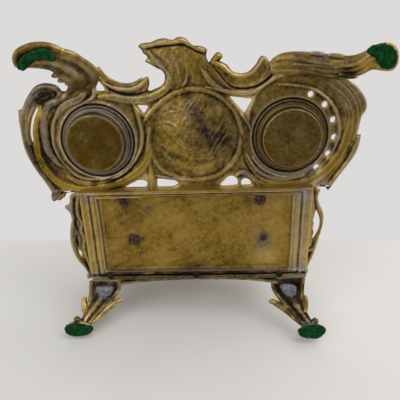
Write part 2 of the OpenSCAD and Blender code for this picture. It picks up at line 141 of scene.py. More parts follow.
def nearest(points, path):
    """Each point's distance to a path, and how far along the path that place is, 0 to 1."""
    best = np.full(len(points), 1e9)
    along = np.zeros(len(points))
    for i, (a, b) in enumerate(zip(path, path[1:])):
        d = b - a
        rel = points - a
        t = np.clip(rel @ d / max(d @ d, 1e-12), 0, 1)
        gap = np.hypot(rel[:, 0] - t * d[0], rel[:, 1] - t * d[1])
        closer = gap < best
        best[closer] = gap[closer]
        along[closer] = (i + t[closer]) / (len(path) - 1)
    return best, along


def to_loops(points, loops):
    """Each point's distance to the nearest of several closed loops."""
    gap = np.full(len(points), 1e9)
    for loop in loops:
        gap = np.minimum(gap, nearest(points, np.vstack([loop, loop[:1]]))[0])
    return gap


def bell(value, at, wide):
    """1 at a value, falling off softly on both sides."""
    return np.exp(-((value - at) / wide) ** 2)


def soft_step(value, start, end):
    """0 before start, 1 after end, and smooth between."""
    t = np.clip((value - start) / (end - start), 0, 1)
    return t * t * (3 - 2 * t)


def rounded(edge, radius, least=0.25):
    """How much of a plate's thickness is left near its rounded edge."""
    near = np.clip(edge / radius, 0, 1)
    return least + (1 - least) * np.sqrt(1 - (1 - near) ** 2)


def blobs(points, spots):
    """Sum of soft round spots over points in mm. A spot is (across, forward, radius, amount)."""
    total = np.zeros(len(points))
    for x, v, r, amount in spots:
        total += amount * np.exp(-((points[:, 0] - x) ** 2 + (points[:, 1] - v) ** 2) / r ** 2)
    return total


def mottle(points, size, seed):
    """Smooth unevenness from -1 to 1 for points in mm, from a few fixed waves."""
    turn = np.random.default_rng(seed)
    total = np.zeros(len(points))
    for _ in range(7):
        way = turn.normal(size=points.shape[1])
        way *= 2 * np.pi / (size * turn.uniform(0.6, 1.7) * np.linalg.norm(way))
        total += np.sin(points @ way + turn.uniform(0, 6.28))
    return total / 4


BAND_WIDEN = 1.3
RIBBED_WIDTH = 8


def bands_height(points, bands):
    """Height and tint of carved bands over each point. A band is (height, width, tint, path).
    A path's third number is its share of the width, 1 where it is left out, and a negative
    height cuts in. A tint is 1 for grey tarnish and -1 for clean gold. Broad raised bands
    have fine ribs."""
    raised, cut, weight, tone = np.zeros((4, len(points)))
    for height, width, tint, path in bands:
        width *= BAND_WIDEN
        curve = spline([(*place, 1)[:3] for place in path], 5)
        lo = curve[:, :2].min(0) - width
        hi = curve[:, :2].max(0) + width
        near = np.flatnonzero(((points > lo) & (points < hi)).all(1))
        if not len(near):
            continue
        gap, along = nearest(points[near], curve[:, :2])
        share = np.interp(along, np.linspace(0, 1, len(curve)), curve[:, 2])
        u = np.clip(gap / (np.maximum(share, 0.05) * width / 2), 0, 1)
        dome = (1 - u ** 2) ** 1.6 * np.minimum(share, 1) ** 0.7
        if width > RIBBED_WIDTH and height > 0:
            dome *= 1 + 0.16 * np.cos(gap * 2.3 + 1.5)
        lift = (0.7 * abs(height) * dome) ** 3
        weight[near] += lift
        tone[near] += lift * tint
        if height > 0:
            raised[near] += lift
        else:
            cut[near] = np.minimum(cut[near], height * dome)
    return raised ** (1 / 3) + cut, tone / (weight + 0.15)


# Closed shells: each is (vertices in the part's frame in metres, faces)


def solid(verts, faces):
    """A closed shell with its faces turned outwards."""
    volume = 0.0
    for size in (3, 4):
        group = np.array([f for f in faces if len(f) == size])
        if not len(group):
            continue
        for k in range(1, size - 1):
            a, b, c = verts[group[:, 0]], verts[group[:, k]], verts[group[:, k + 1]]
            volume += np.einsum("ij,ij->i", a, np.cross(b, c)).sum()
    for face in faces:
        if len(face) > 4:
            for k in range(1, len(face) - 1):
                volume += verts[face[0]] @ np.cross(verts[face[k]], verts[face[k + 1]])
    if volume < 0:
        faces = [tuple(reversed(f)) for f in faces]
    return verts, faces


def joined(shells):
    """Several shells as one."""
    verts, faces, start = [], [], 0
    for v, f in shells:
        verts.append(v)
        faces += [tuple(i + start for i in face) for face in f]
        start += len(v)
    return np.vstack(verts), faces


def ring_faces(count, sides):
    """The faces between rings that have as many points each."""
    faces = []
    for i in range(count - 1):
        for k in range(sides):
            a, b = i * sides + k, i * sides + (k + 1) % sides
            faces.append((a, b, b + sides, a + sides))
    return faces


def rings_shell(rings):
    """A tube through rings of tray points, with its two ends closed."""
    count, sides = rings.shape[:2]
    faces = ring_faces(count, sides)
    faces.append(tuple(range(sides))[::-1])
    faces.append(tuple(range((count - 1) * sides, count * sides)))
    return solid(to_part(rings.reshape(-1, 3)), faces)


def sweep(path, sides=28, step=1.6):
    """A round bar along a path of (across, forward, height, width, thickness) in mm."""
    path = evenly(spline(path, 8), step)
    centre = path[:, :3]
    tangent = np.gradient(centre, axis=0)
    tangent /= np.linalg.norm(tangent, axis=1)[:, None]
    side = np.cross(tangent, [0, 0, 1.0])
    side /= np.linalg.norm(side, axis=1)[:, None]
    rise = np.cross(side, tangent)
    angle = np.linspace(0, 2 * np.pi, sides, endpoint=False) + np.pi / sides
    c, s = np.cos(angle), np.sin(angle)
    return rings_shell(centre[:, None]
                       + side[:, None] * (c[None, :, None] * path[:, 3][:, None, None] / 2)
                       + rise[:, None] * (s[None, :, None] * path[:, 4][:, None, None] / 2))


def lathe(profile, x, v, segments=96, lobes=0, lobe_depth=0.0, lobe_from=0.0, lobe_to=1e9):
    """A turned shell about a vertical axis, from a closed profile of (radius, height) in mm
    whose ends lie on the axis. Lobes swell it between two heights."""
    p = np.asarray(profile, float)
    angle = np.linspace(0, 2 * np.pi, segments, endpoint=False)
    radius = p[1:-1, 0][:, None] * np.ones(segments)
    if lobes:
        mid, half = (lobe_from + lobe_to) / 2, (lobe_to - lobe_from) / 2
        swell = np.clip(1 - ((p[1:-1, 1] - mid) / half) ** 2, 0, 1) ** 0.5
        radius += swell[:, None] * lobe_depth * (np.abs(np.sin(lobes * angle / 2)) - 0.6)
    rings = np.stack([x + radius * np.cos(angle), v + radius * np.sin(angle),
                      p[1:-1, 1][:, None] * np.ones(segments)], -1)
    verts = np.vstack([rings.reshape(-1, 3), [x, v, p[0, 1]], [x, v, p[-1, 1]]])
    first, last = len(verts) - 2, len(verts) - 1
    faces = ring_faces(len(rings), segments)
    top = (len(rings) - 1) * segments
    for k in range(segments):
        faces.append((first, (k + 1) % segments, k))
        faces.append((last, top + k, top + (k + 1) % segments))
    return solid(to_part(verts), faces)


def sheet(outline, holes, step, lower, upper, place=to_part, soft_holes=()):
    """A cast plate with a crisp outline and holes. lower and upper give its two faces'
    heights in mm from the points and their distance to the rounded edges."""
    loops = [outline] + list(holes)
    lo, hi = outline.min(0), outline.max(0)
    rows = []
    for i, v in enumerate(np.arange(lo[1], hi[1], step * 0.866)):
        xs = np.arange(lo[0] + (i % 2) * step / 2, hi[0], step)
        rows.append(np.column_stack([xs, np.full(len(xs), v)]))
    grid = np.vstack(rows)
    grid = grid[in_plate(grid, outline, holes)]
    grid = grid[to_loops(grid, loops) > 0.55 * step]
    edges, start = [], 0
    for loop in loops:
        n = len(loop)
        edges += [(start + i, start + (i + 1) % n) for i in range(n)]
        start += n
    points = np.vstack(loops + [grid])
    flat, _, tris, *_ = delaunay_2d_cdt([Vector(p) for p in points], edges, [], 0, 1e-6)
    flat = np.array([tuple(p) for p in flat])
    tris = np.array(tris)
    tris = tris[in_plate(flat[tris].mean(1), outline, holes)]
    a, b, c = (flat[tris[:, k]] for k in range(3))
    turn = np.cross(b - a, c - a)
    tris[turn < 0] = tris[turn < 0][:, ::-1]
    used = np.unique(tris)
    renumber = np.full(len(flat), -1)
    renumber[used] = np.arange(len(used))
    flat, tris = flat[used], renumber[tris]
    edge = to_loops(flat, [outline] + list(soft_holes))
    n = len(flat)
    verts = np.vstack([np.column_stack([flat, lower(flat, edge)]),
                       np.column_stack([flat, upper(flat, edge)])])
    faces = [tuple(t) for t in (tris + n).tolist()] + [tuple(t[::-1]) for t in tris.tolist()]
    sides = {(t[i], t[(i + 1) % 3]) for t in tris.tolist() for i in range(3)}
    faces += [(q + n, p + n, p, q) for p, q in sorted(sides) if (q, p) not in sides]
    return solid(place(verts), faces)


def blade(stations, ridges, groove, lean, seed=5, inner=0.6, sides=44, step=1.4):
    """A broad leaf-like bar between two edges. A station is the (across, forward, height) of
    its outer edge, the same of its inner edge, and its thickness, in mm. Its lower side has
    soft flutes that come and go along it. A larger inner thins it towards its inner edge."""
    path = spline(stations, 8)
    path = evenly(np.column_stack([(path[:, 0:3] + path[:, 3:6]) / 2, path]), step)[:, 3:]
    centre, half = (path[:, 0:3] + path[:, 3:6]) / 2, (path[:, 3:6] - path[:, 0:3]) / 2
    low = np.cross(half, np.gradient(centre, axis=0))
    low /= np.linalg.norm(low, axis=1)[:, None]
    low[low[:, 2] > 0] *= -1
    angle = np.linspace(0, 2 * np.pi, sides, endpoint=False)
    c, s = np.cos(angle), np.sin(angle)
    across = np.sign(c) * np.abs(c) ** 0.75
    run = np.arange(len(path))[:, None] * step
    comes = 0.7 + 0.3 * np.sin(run / 11 + 2.1 * across + seed)
    wander = 0.25 * np.sin(run / 17 + seed)
    flute = 1 - groove * comes * (0.5 - 0.5 * np.cos(np.pi * ridges * (across + 1 + wander) + lean))
    power = np.where(c > 0, 0.6, inner)
    deep = np.where(s > 0, np.abs(s) ** power * flute, -np.abs(s) ** 0.8)
    rings = (centre[:, None] + half[:, None] * across[None, :, None]
             + low[:, None] * (deep[:, :, None] * path[:, 6][:, None, None] / 2))
    flat = rings.reshape(-1, 3)
    flat = flat + 0.22 * mottle(flat, 9, seed)[:, None] * low.repeat(sides, 0)
    return rings_shell(flat.reshape(rings.shape))


def plate(xs, vs, lower, upper, place=to_part):
    """A closed slab over a grid of lines, for mouldings that need straight edges."""
    flat = np.stack(np.meshgrid(xs, vs, indexing="ij"), -1).reshape(-1, 2)
    n, wide, tall = len(flat), len(xs), len(vs)
    verts = np.vstack([np.column_stack([flat, lower(flat)]), np.column_stack([flat, upper(flat)])])
    faces = []
    for i in range(wide - 1):
        for k in range(tall - 1):
            a, b = i * tall + k, (i + 1) * tall + k
            faces.append((a, b, b + 1, a + 1))
            faces.append((a + n, a + 1 + n, b + 1 + n, b + n))
    rim = ([i * tall for i in range(wide)] + [(wide - 1) * tall + k for k in range(1, tall)]
           + [i * tall + tall - 1 for i in range(wide - 2, -1, -1)]
           + [k for k in range(tall - 2, 0, -1)])
    for a, b in zip(rim, rim[1:] + rim[:1]):
        faces.append((a, a + n, b + n, b))
    return solid(place(verts), faces)


def block(x0, x1, v0, v1, z0, z1):
    """A plain box, for small hidden or half-hidden fittings."""
    return plate(np.array([x0, x1]), np.array([v0, v1]),
                 lambda p: np.full(len(p), z0), lambda p: np.full(len(p), z1))


def across_rod(x0, x1, v, z, radius, dome=0.0, sides=24):
    """A rod along the x axis, with domed ends where dome is above 0."""
    stations = [(x0, 1), (x1, 1)]
    if dome:
        stations = [(x0 - dome, 0.45), (x0 - dome * 0.6, 0.8), *stations, (x1 + dome * 0.6, 0.8),
                    (x1 + dome, 0.45)]
    angle = np.linspace(0, 2 * np.pi, sides, endpoint=False)
    return rings_shell(np.array([np.column_stack([
        np.full(sides, x), v + radius * r * np.cos(angle), z + radius * r * np.sin(angle)])
        for x, r in stations]))


# Objects

RELIEF_ROUNDS = 12


def relief_of(mesh, scale):
    """How deep each vertex lies: 0 on a crest, 0.5 on the flat, 1 in a hollow."""
    count = len(mesh.vertices)
    place, normals = np.empty((2, count * 3), np.float32)
    mesh.vertices.foreach_get("co", place)
    mesh.vertex_normals.foreach_get("vector", normals)
    pairs = np.empty(len(mesh.edges) * 2, np.int32)
    mesh.edges.foreach_get("vertices", pairs)
    place = place.reshape(-1, 3) * 1000.0
    one, two = pairs.reshape(-1, 2).T
    number = np.maximum(np.bincount(one, minlength=count) + np.bincount(two, minlength=count), 1)
    now = place.copy()
    for _ in range(RELIEF_ROUNDS):
        mean = np.column_stack([np.bincount(one, now[two, k], count)
                                + np.bincount(two, now[one, k], count) for k in range(3)])
        now = 0.4 * now + 0.6 * mean / number[:, None]
    deep = np.einsum("ij,ij->i", now - place, normals.reshape(-1, 3))
    return np.clip(0.5 + deep / (2 * scale), 0, 1)


def finished(name, mesh, body, slot, finish, replaces=(), greys=None, angle=50, scale=0.5,
             calm=1.0, soil=0.0):
    """An object from a mesh, on its body, with its relief and its tarnish kept as attributes.
    A calm below 1 lessens how much the relief shows in the colour, and the soil value darkens it, as dirt
    and as painted shade, and where below 0 lightens it, as a painted highlight."""
    mesh.validate()
    mesh.shade_smooth()
    mesh.set_sharp_from_angle(angle=math.radians(angle))
    # the last term darkens as dirt and as painted shade, and where below 0 lightens as a painted
    # highlight
    depth = 0.5 + (relief_of(mesh, scale) - 0.5) * calm + soil
    tone = np.zeros(len(mesh.vertices)) if greys is None else greys
    for label, values in (("hollow", depth), ("grey", tone)):
        layer = mesh.attributes.new(label, "FLOAT", "POINT")
        layer.data.foreach_set("value", values.astype(np.float32))
    obj = bpy.data.objects.new(name, mesh)
    bpy.context.scene.collection.objects.link(obj)
    obj.data.materials.clear()
    obj.data.materials.append(finish_of(finish))
    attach(obj, body)
    if replaces:
        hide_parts(*replaces)
    return obj


def piece(name, shell, body, slot, finish, *rest, **looks):
    """A finished object from a closed shell."""
    mesh = bpy.data.meshes.new(name)
    mesh.from_pydata(shell[0].tolist(), [], shell[1])
    return finished(name, mesh, body, slot, finish, *rest, **looks)


# Materials


def times(colour, share):
    """A colour made darker or lighter."""
    return tuple(min(1, share * c) for c in colour)


class Nodes:
    """A node tree, with short calls for adding and linking nodes."""
    prefix = "ShaderNode"

    def add(self, kind, inputs=(), **settings):
        node = self.tree.nodes.new(kind if "Node" in kind else self.prefix + kind)
        for key, value in settings.items():
            setattr(node, key, value)
        for key, value in dict(inputs).items():
            for one in value if isinstance(value, list) else [value]:
                if isinstance(one, bpy.types.NodeSocket):
                    self.tree.links.new(one, node.inputs[key])
                else:
                    node.inputs[key].default_value = one
        return node


class Shader(Nodes):
    """The nodes of a material or of the world."""

    def __init__(self, owner):
        owner.use_nodes = True
        self.owner = owner
        self.tree = owner.node_tree
        self.tree.nodes.clear()
        self.place = None

    def math(self, how, *values, clamp=False):
        return self.add("Math", dict(enumerate(values)), operation=how, use_clamp=clamp).outputs[0]

    def noise(self, scale, detail, rough):
        if self.place is None:
            self.place = self.add("TexCoord").outputs["Object"]
        return self.add("TexNoise", {"Vector": self.place, "Scale": scale, "Detail": detail,
                                     "Roughness": rough}).outputs["Fac"]

    def attribute(self, name):
        return self.add("Attribute", attribute_name=name).outputs["Fac"]

    def ramp(self, factor, stops, how="LINEAR"):
        node = self.add("ValToRGB", {"Fac": factor})
        node.color_ramp.interpolation = how
        while len(node.color_ramp.elements) < len(stops):
            node.color_ramp.elements.new(0.5)
        for element, (at, colour) in zip(node.color_ramp.elements, stops):
            element.position = at
            element.color = (*colour, 1)
        return node.outputs["Color"]

    def blend(self, factor, a, b):
        a, b = ((*c, 1) if isinstance(c, tuple) else c for c in (a, b))
        return self.add("Mix", {0: factor, 6: a, 7: b}, data_type="RGBA").outputs[2]

    def bump(self, height, strength, distance, normal=None):
        inputs = {"Height": height, "Strength": strength, "Distance": distance}
        if normal is not None:
            inputs["Normal"] = normal
        return self.add("Bump", inputs).outputs["Normal"]

    def finish(self, shader, kind="OutputMaterial"):
        self.add(kind, {"Surface": shader})
        return self.owner

    def principled(self, **inputs):
        names = {k.replace("_", " "): v for k, v in inputs.items()}
        return self.finish(self.add("BsdfPrincipled", names).outputs[0])


def new_shader(name):
    return Shader(bpy.data.materials.new(name))


# pale crust: polish residue in the grooves, and a painted highlight where a tint is pushed high on
# purpose
PALE_CRUST_AND_HIGHLIGHT = (0.46, 0.42, 0.34)


def aged_brass(name, bright, middle, dark, grey, gold, lean=0.0, patch=0.5, rough=0.4, patches=1.5,
               grit=1.1):
    """Aged gilt brass: lighter on the crests, as wear and as a painted highlight, and darker in the
    hollows, as dirt and as painted shade, with patches of grey tarnish and of clean gold, and a grain
    that the whole casting has."""
    s = new_shader(name)
    hollow = s.attribute("hollow")
    tone = s.attribute("grey")
    large = s.noise(24, 3, 0.6)
    small = s.noise(230, 6, 0.72)
    fine = s.noise(760, 4, 0.65)
    grain = s.math("SUBTRACT", s.noise(1500, 2, 0.5), 0.5)

    def swing(cloud, middle, share):
        return s.math("MULTIPLY", s.math("SUBTRACT", cloud, middle), share)

    # the relief's depth sets the colour: crests take the light colours as wear and as a painted
    # highlight, hollows take the dark ones as dirt and as painted shade
    dirt_and_painted_light = s.math("MULTIPLY_ADD", hollow, 1.25, lean - 0.14)
    for cloud, share in ((large, patch), (small, 0.8 * grit), (fine, 0.45 * grit)):
        dirt_and_painted_light = s.math("ADD", dirt_and_painted_light, swing(cloud, 0.5, share))
    dirt_and_painted_light = s.math("ADD", dirt_and_painted_light, s.math("MULTIPLY", grain, 0.2 * grit), clamp=True)

    def layer(crest, flat, deep):
        between = tuple(0.5 * a + 0.5 * b for a, b in zip(crest, flat))
        return s.ramp(dirt_and_painted_light, [(0.0, crest), (0.26, between), (0.5, flat), (0.78, deep),
                             (1.0, times(deep, 0.3))])

    gilt = layer(bright, middle, dark)
    dull = layer(times(grey, 2.5), grey, times(grey, 0.22))
    clean = layer(times(gold, 1.6), gold, times(gold, 0.25))
    cloud = s.math("ADD", s.math("SUBTRACT", s.noise(62, 5, 0.68), 0.53),
                   s.math("MULTIPLY", grain, 0.5 * grit))
    amount = s.math("ADD", tone, s.math("MULTIPLY", cloud, patches))
    colour = s.blend(s.math("MULTIPLY", amount, 0.9, clamp=True), gilt, dull)
    colour = s.blend(s.math("MULTIPLY", amount, -1.0, clamp=True), colour, clean)
    speck = swing(s.noise(480, 5, 0.75), 0.5, 3.4)
    # where the tint runs past 1.25 the colour turns pale, as residue and as a painted highlight
    crust_and_highlight = s.math("ADD", s.math("SUBTRACT", tone, 1.25), speck, clamp=True)
    colour = s.blend(crust_and_highlight, colour, PALE_CRUST_AND_HIGHLIGHT)
    roughness = s.math("ADD", s.math("MULTIPLY_ADD", dirt_and_painted_light, 0.3, rough - 0.1), swing(fine, 0.5, 0.3))
    normal = s.bump(fine, 0.4, 0.00025, s.bump(small, 0.5, 0.0006))
    return s.principled(Base_Color=colour, Metallic=0.85, Roughness=roughness, Normal=normal)


def solder_finish(colour):
    s = new_shader("lead_solder_rough")
    lumps = s.noise(420, 6, 0.7)
    shade = s.ramp(lumps, [(0.25, times(colour, 0.15)), (0.45, colour), (0.7, times(colour, 1.7))])
    return s.principled(Base_Color=shade, Metallic=0.75, Roughness=0.45,
                        Normal=s.bump(lumps, 0.8, 0.0012))


def felt_finish(colour):
    s = new_shader("green_felt_nap")
    fibres = s.noise(1500, 5, 0.8)
    clumps = s.noise(260, 5, 0.7)
    shade = s.ramp(clumps, [(0.36, times(colour, 0.08)), (0.5, colour), (0.64, times(colour, 2.9))])
    shade = s.blend(s.math("MULTIPLY", fibres, 0.4), shade, tuple(1.6 * c + 0.002 for c in colour))
    return s.principled(Base_Color=shade, Roughness=1.0, Specular_IOR_Level=0.15, Sheen_Weight=0.03,
                        Sheen_Roughness=0.5, Normal=s.bump(fibres, 1.0, 0.001))


def glass_finish(colour):
    s = new_shader("liner_glass_clear")
    waves = s.noise(60, 2, 0.4)
    return s.principled(Base_Color=(*colour, 1), Roughness=0.04, IOR=1.5, Transmission_Weight=1.0,
                        Normal=s.bump(waves, 0.1, 0.0006))


def steel_finish(colour):
    s = new_shader("dark_steel_rusty")
    rust = s.noise(700, 5, 0.7)
    shade = s.ramp(rust, [(0.38, times(colour, 0.2)), (0.52, colour), (0.64, (0.3, 0.16, 0.12))])
    return s.principled(Base_Color=shade, Metallic=0.7, Roughness=0.55,
                        Normal=s.bump(rust, 0.5, 0.0003))


def floor_finish(name, colour, camera_only=False):
    """A pale cloth, seen from its front only, and by the camera alone where that is asked."""
    s = new_shader(name)
    cloth = s.noise(7, 3, 0.5)
    shade = s.ramp(cloth, [(0.3, times(colour, 0.96)), (0.7, colour)])
    surface = s.add("BsdfDiffuse", {"Color": shade}).outputs[0]
    hide = s.add("NewGeometry").outputs["Backfacing"]
    if camera_only:
        other = s.math("SUBTRACT", 1.0, s.add("LightPath").outputs["Is Camera Ray"])
        hide = s.math("MAXIMUM", hide, other)
    clear = s.add("BsdfTransparent").outputs[0]
    return s.finish(s.add("MixShader", {0: hide, 1: surface, 2: clear}).outputs[0])


# What a user may change


class InkstandSizes(PropertyGroup):
    """Sizes of the cast relief and the trim, in millimetres where no unit is shown."""
    mesh_step: FloatProperty(name="Mesh step", description="Spacing of the casting's mesh in mm",
                             default=0.85, min=0.6, max=4.0)
    relief: FloatProperty(name="Relief", description="Share of the carved bands' height",
                          default=1.0, min=0.2, max=1.5, subtype="FACTOR")
    bead_radius: FloatProperty(name="Bead radius", description="Radius of a bead on the trim",
                               default=0.0011, unit="LENGTH")
    screw_radius: FloatProperty(name="Screw head radius", description="Radius of a screw's head",
                                default=0.0042, unit="LENGTH")
    pot_lobes: IntProperty(name="Pot lobes", description="Number of lobes round a pot",
                           default=24, min=6, max=48)


def paint(name, description, colour):
    return FloatVectorProperty(name=name, description=description, subtype="COLOR", default=colour)


class InkstandColours(PropertyGroup):
    """Colours of the finishes."""
    # the crest colour is worn gilt with a painted highlight, and the hollow colour is dirt with painted
    # shade
    gilt_worn_and_highlit: paint("Worn gilt and painted highlight", "Gilt on the crests", (0.6, 0.455, 0.19))
    gilt: paint("Gilt", "Gilt on the flats", (0.25, 0.158, 0.036))
    gilt_dark: paint("Dirt and painted shade", "Gilt in the hollows", (0.045, 0.028, 0.01))
    gold: paint("Clean gold", "Gilt where it is cleanest", (0.32, 0.205, 0.03))
    tarnish: paint("Tarnish", "Greyish tarnish", (0.15, 0.122, 0.1))
    plate: paint("Plate", "The platform's yellow brass", (0.33, 0.205, 0.032))
    solder: paint("Solder", "Lead solder", (0.2, 0.205, 0.215))
    felt: paint("Felt", "The felt soles", (0.002, 0.047, 0.008))
    glass: paint("Glass", "The liners", (0.92, 0.97, 0.95))
    steel: paint("Steel", "Screws and hinge pins", (0.065, 0.034, 0.025))
    wall: paint("Wall", "The backdrop", (0.72, 0.705, 0.70))
    floor: paint("Floor", "The floor", (0.66, 0.65, 0.635))


def sizes():
    return bpy.context.scene.inkstand_sizes


def colours():
    return bpy.context.scene.inkstand_colours


FINISHES = {}


def finish_of(name):
    """Each finish is made once and shared."""
    if name not in FINISHES:
        FINISHES[name] = new_finish(name)
    return FINISHES[name]


def new_finish(name):
    c = colours()
    plain = {"solder": solder_finish, "felt": felt_finish, "glass": glass_finish,
             "steel": steel_finish}
    if name in plain:
        return plain[name](tuple(getattr(c, name)))
    bright, middle, dark, grey, gold = map(
        tuple, (c.gilt_worn_and_highlit, c.gilt, c.gilt_dark, c.tarnish, c.gold))
    return aged_brass(*{
        "gilt": ("gilt_brass_aged", bright, middle, dark, grey, gold),
        "tarnished": ("tarnished_brass_aged", times(bright, 0.8), times(middle, 0.85), dark, grey,
                      gold, 0.05),
        "plate": ("plate_brass_mottled", (0.6, 0.43, 0.14), tuple(c.plate), dark, grey, gold, 0.03,
                  0.35, 0.45, 1.4, 0.9),
        "legs": ("leg_brass_brown", times(bright, 0.8), times(middle, 0.75), dark, grey, gold, 0.04),
        "leaf": ("leaf_brass_brown", (0.62, 0.45, 0.16), (0.14, 0.084, 0.024), (0.03, 0.018, 0.01),
                 grey, gold, 0.14, 0.6, 0.34, 1.2),
        "pot": ("pot_brass_olive", times(bright, 0.75), (0.11, 0.063, 0.002), (0.04, 0.023, 0.002),
                (0.1, 0.078, 0.07), (0.18, 0.105, 0.004), 0.0, 0.35, 0.42, 0.8, 0.6),
    }[name])


# Front casting: the outlines and bands are (across, forward) in mm

LEFT_SCROLL_EDGE = [
    (-103, 9), (-110, 11), (-115, 9), (-117.5, 8), (-119, 5), (-121.5, 3.5), (-124, 1.5), (-127, 2),
    (-129.5, 0.5), (-131.5, 2.5), (-131.5, 6), (-130.5, 10), (-132, 15), (-135, 21), (-138, 27),
    (-141.5, 34), (-144, 40), (-146, 46), (-147, 52), (-147.3, 60), (-147.2, 68), (-147, 75),
    (-146.3, 80), (-145.8, 83.5), (-143, 84.5), (-141, 87), (-138, 91.5), (-135, 95.5), (-131, 100),
    (-127, 103), (-122, 104.6), (-118, 104.7), (-114, 104), (-110, 102.5), (-108, 100), (-107, 98.5),
    (-104, 98), (-101, 99), (-98, 102), (-94, 105)]
ARM_EDGE = [
    (-88, 110), (-81, 114), (-76.5, 113), (-74.5, 110.4), (-70.9, 107), (-65.6, 103.9), (-60.9, 102),
    (-55.7, 101), (-50.4, 100.7), (-45.4, 101.7), (-42, 103.4), (-39, 105.6), (-36.8, 107),
    (-35.3, 107.3), (-34.3, 106.4), (-33.8, 103.9), (-34.1, 100.5), (-35.4, 97), (-33.5, 96.2),
    (-30, 97.5), (-26, 99), (-23, 101), (-21.3, 104), (-21, 108), (-23, 111.5)]
CREST_EDGE = [
    (-27, 113.5), (-31, 116), (-34, 117.5), (-36, 119), (-34, 121), (-34.3, 123), (-37, 125),
    (-38, 127.5), (-40.5, 130), (-38.5, 131.8), (-36, 132.5), (-30, 133), (-26, 134.5), (-20, 135.5),
    (-16, 134.5), (-12.5, 134.3), (-9, 135.9), (-5, 135.6), (-2, 134), (0.5, 131.3), (3, 129.5), (8, 129),
    (12, 127.5), (13.6, 125.5), (12.8, 122.5), (13.4, 119), (15, 116.8), (17, 119.5), (20, 123),
    (22.5, 124), (25, 122.5), (25.6, 120), (23.5, 117.5)]
RIGHT_EDGE = [
    (26.5, 116), (29.5, 114), (31.5, 111.5), (34, 109), (38, 107.8), (43, 107.8), (47, 109.3), (50, 112),
    (52.5, 115), (54.3, 118.2), (56, 120), (58.5, 120), (61, 118), (63, 114.5), (64.3, 110.5), (66, 113),
    (67, 116.5), (69, 119.4), (73, 121.5), (82, 121.5), (95, 118), (108, 112), (118, 107), (124, 101.8),
    (128, 98.5), (132, 96), (136, 92), (139, 88.5), (141.5, 84.5), (143, 80), (143, 76.5), (141, 72),
    (139.5, 69.5), (139, 65), (138.5, 60), (138, 56.5), (138.8, 55), (141, 55.5), (141, 52), (140.5, 46),
    (139, 40), (136, 34), (132, 28), (128, 22), (124, 15.5), (121.5, 11), (119, 6.8), (117.2, 6.6),
    (116, 8.8), (115, 11), (111, 11.5), (103, 9)]
OPENINGS = [
    [(-63, 13), (-57, 16.5), (-50, 19.7), (-45.5, 19.5), (-42.5, 17.5), (-43.5, 13)],
    [(-33.5, 13), (-33.5, 20.5), (-26, 19.6), (-17, 18.2), (-14.5, 15.5), (-19, 13)],
    [(23, 13), (26, 17.5), (30.5, 21.2), (34.5, 21), (37.5, 18.3), (37.8, 14.5), (35.5, 13)],
    [(41, 13), (41.3, 17.8), (44, 19), (47.2, 18.4), (50, 15), (49.5, 13)],
    [(-45.3, 85), (-36, 84.3), (-40.2, 77.8)],
    [(31, 89.8), (49.8, 87.3), (43.2, 76.2)],
    [(-76.4, 106.5), (-77.2, 103), (-77.6, 98), (-74.6, 97.5), (-71, 97.8), (-71.8, 100.4), (-74, 103.6)],
    [(-129.5, 85.5), (-132.5, 81.5), (-135.5, 76.5), (-138, 69.5), (-139.6, 62), (-139, 56.5),
        (-137.6, 57.5), (-137.2, 64), (-135.4, 71), (-132.3, 78), (-129, 83.5)]]

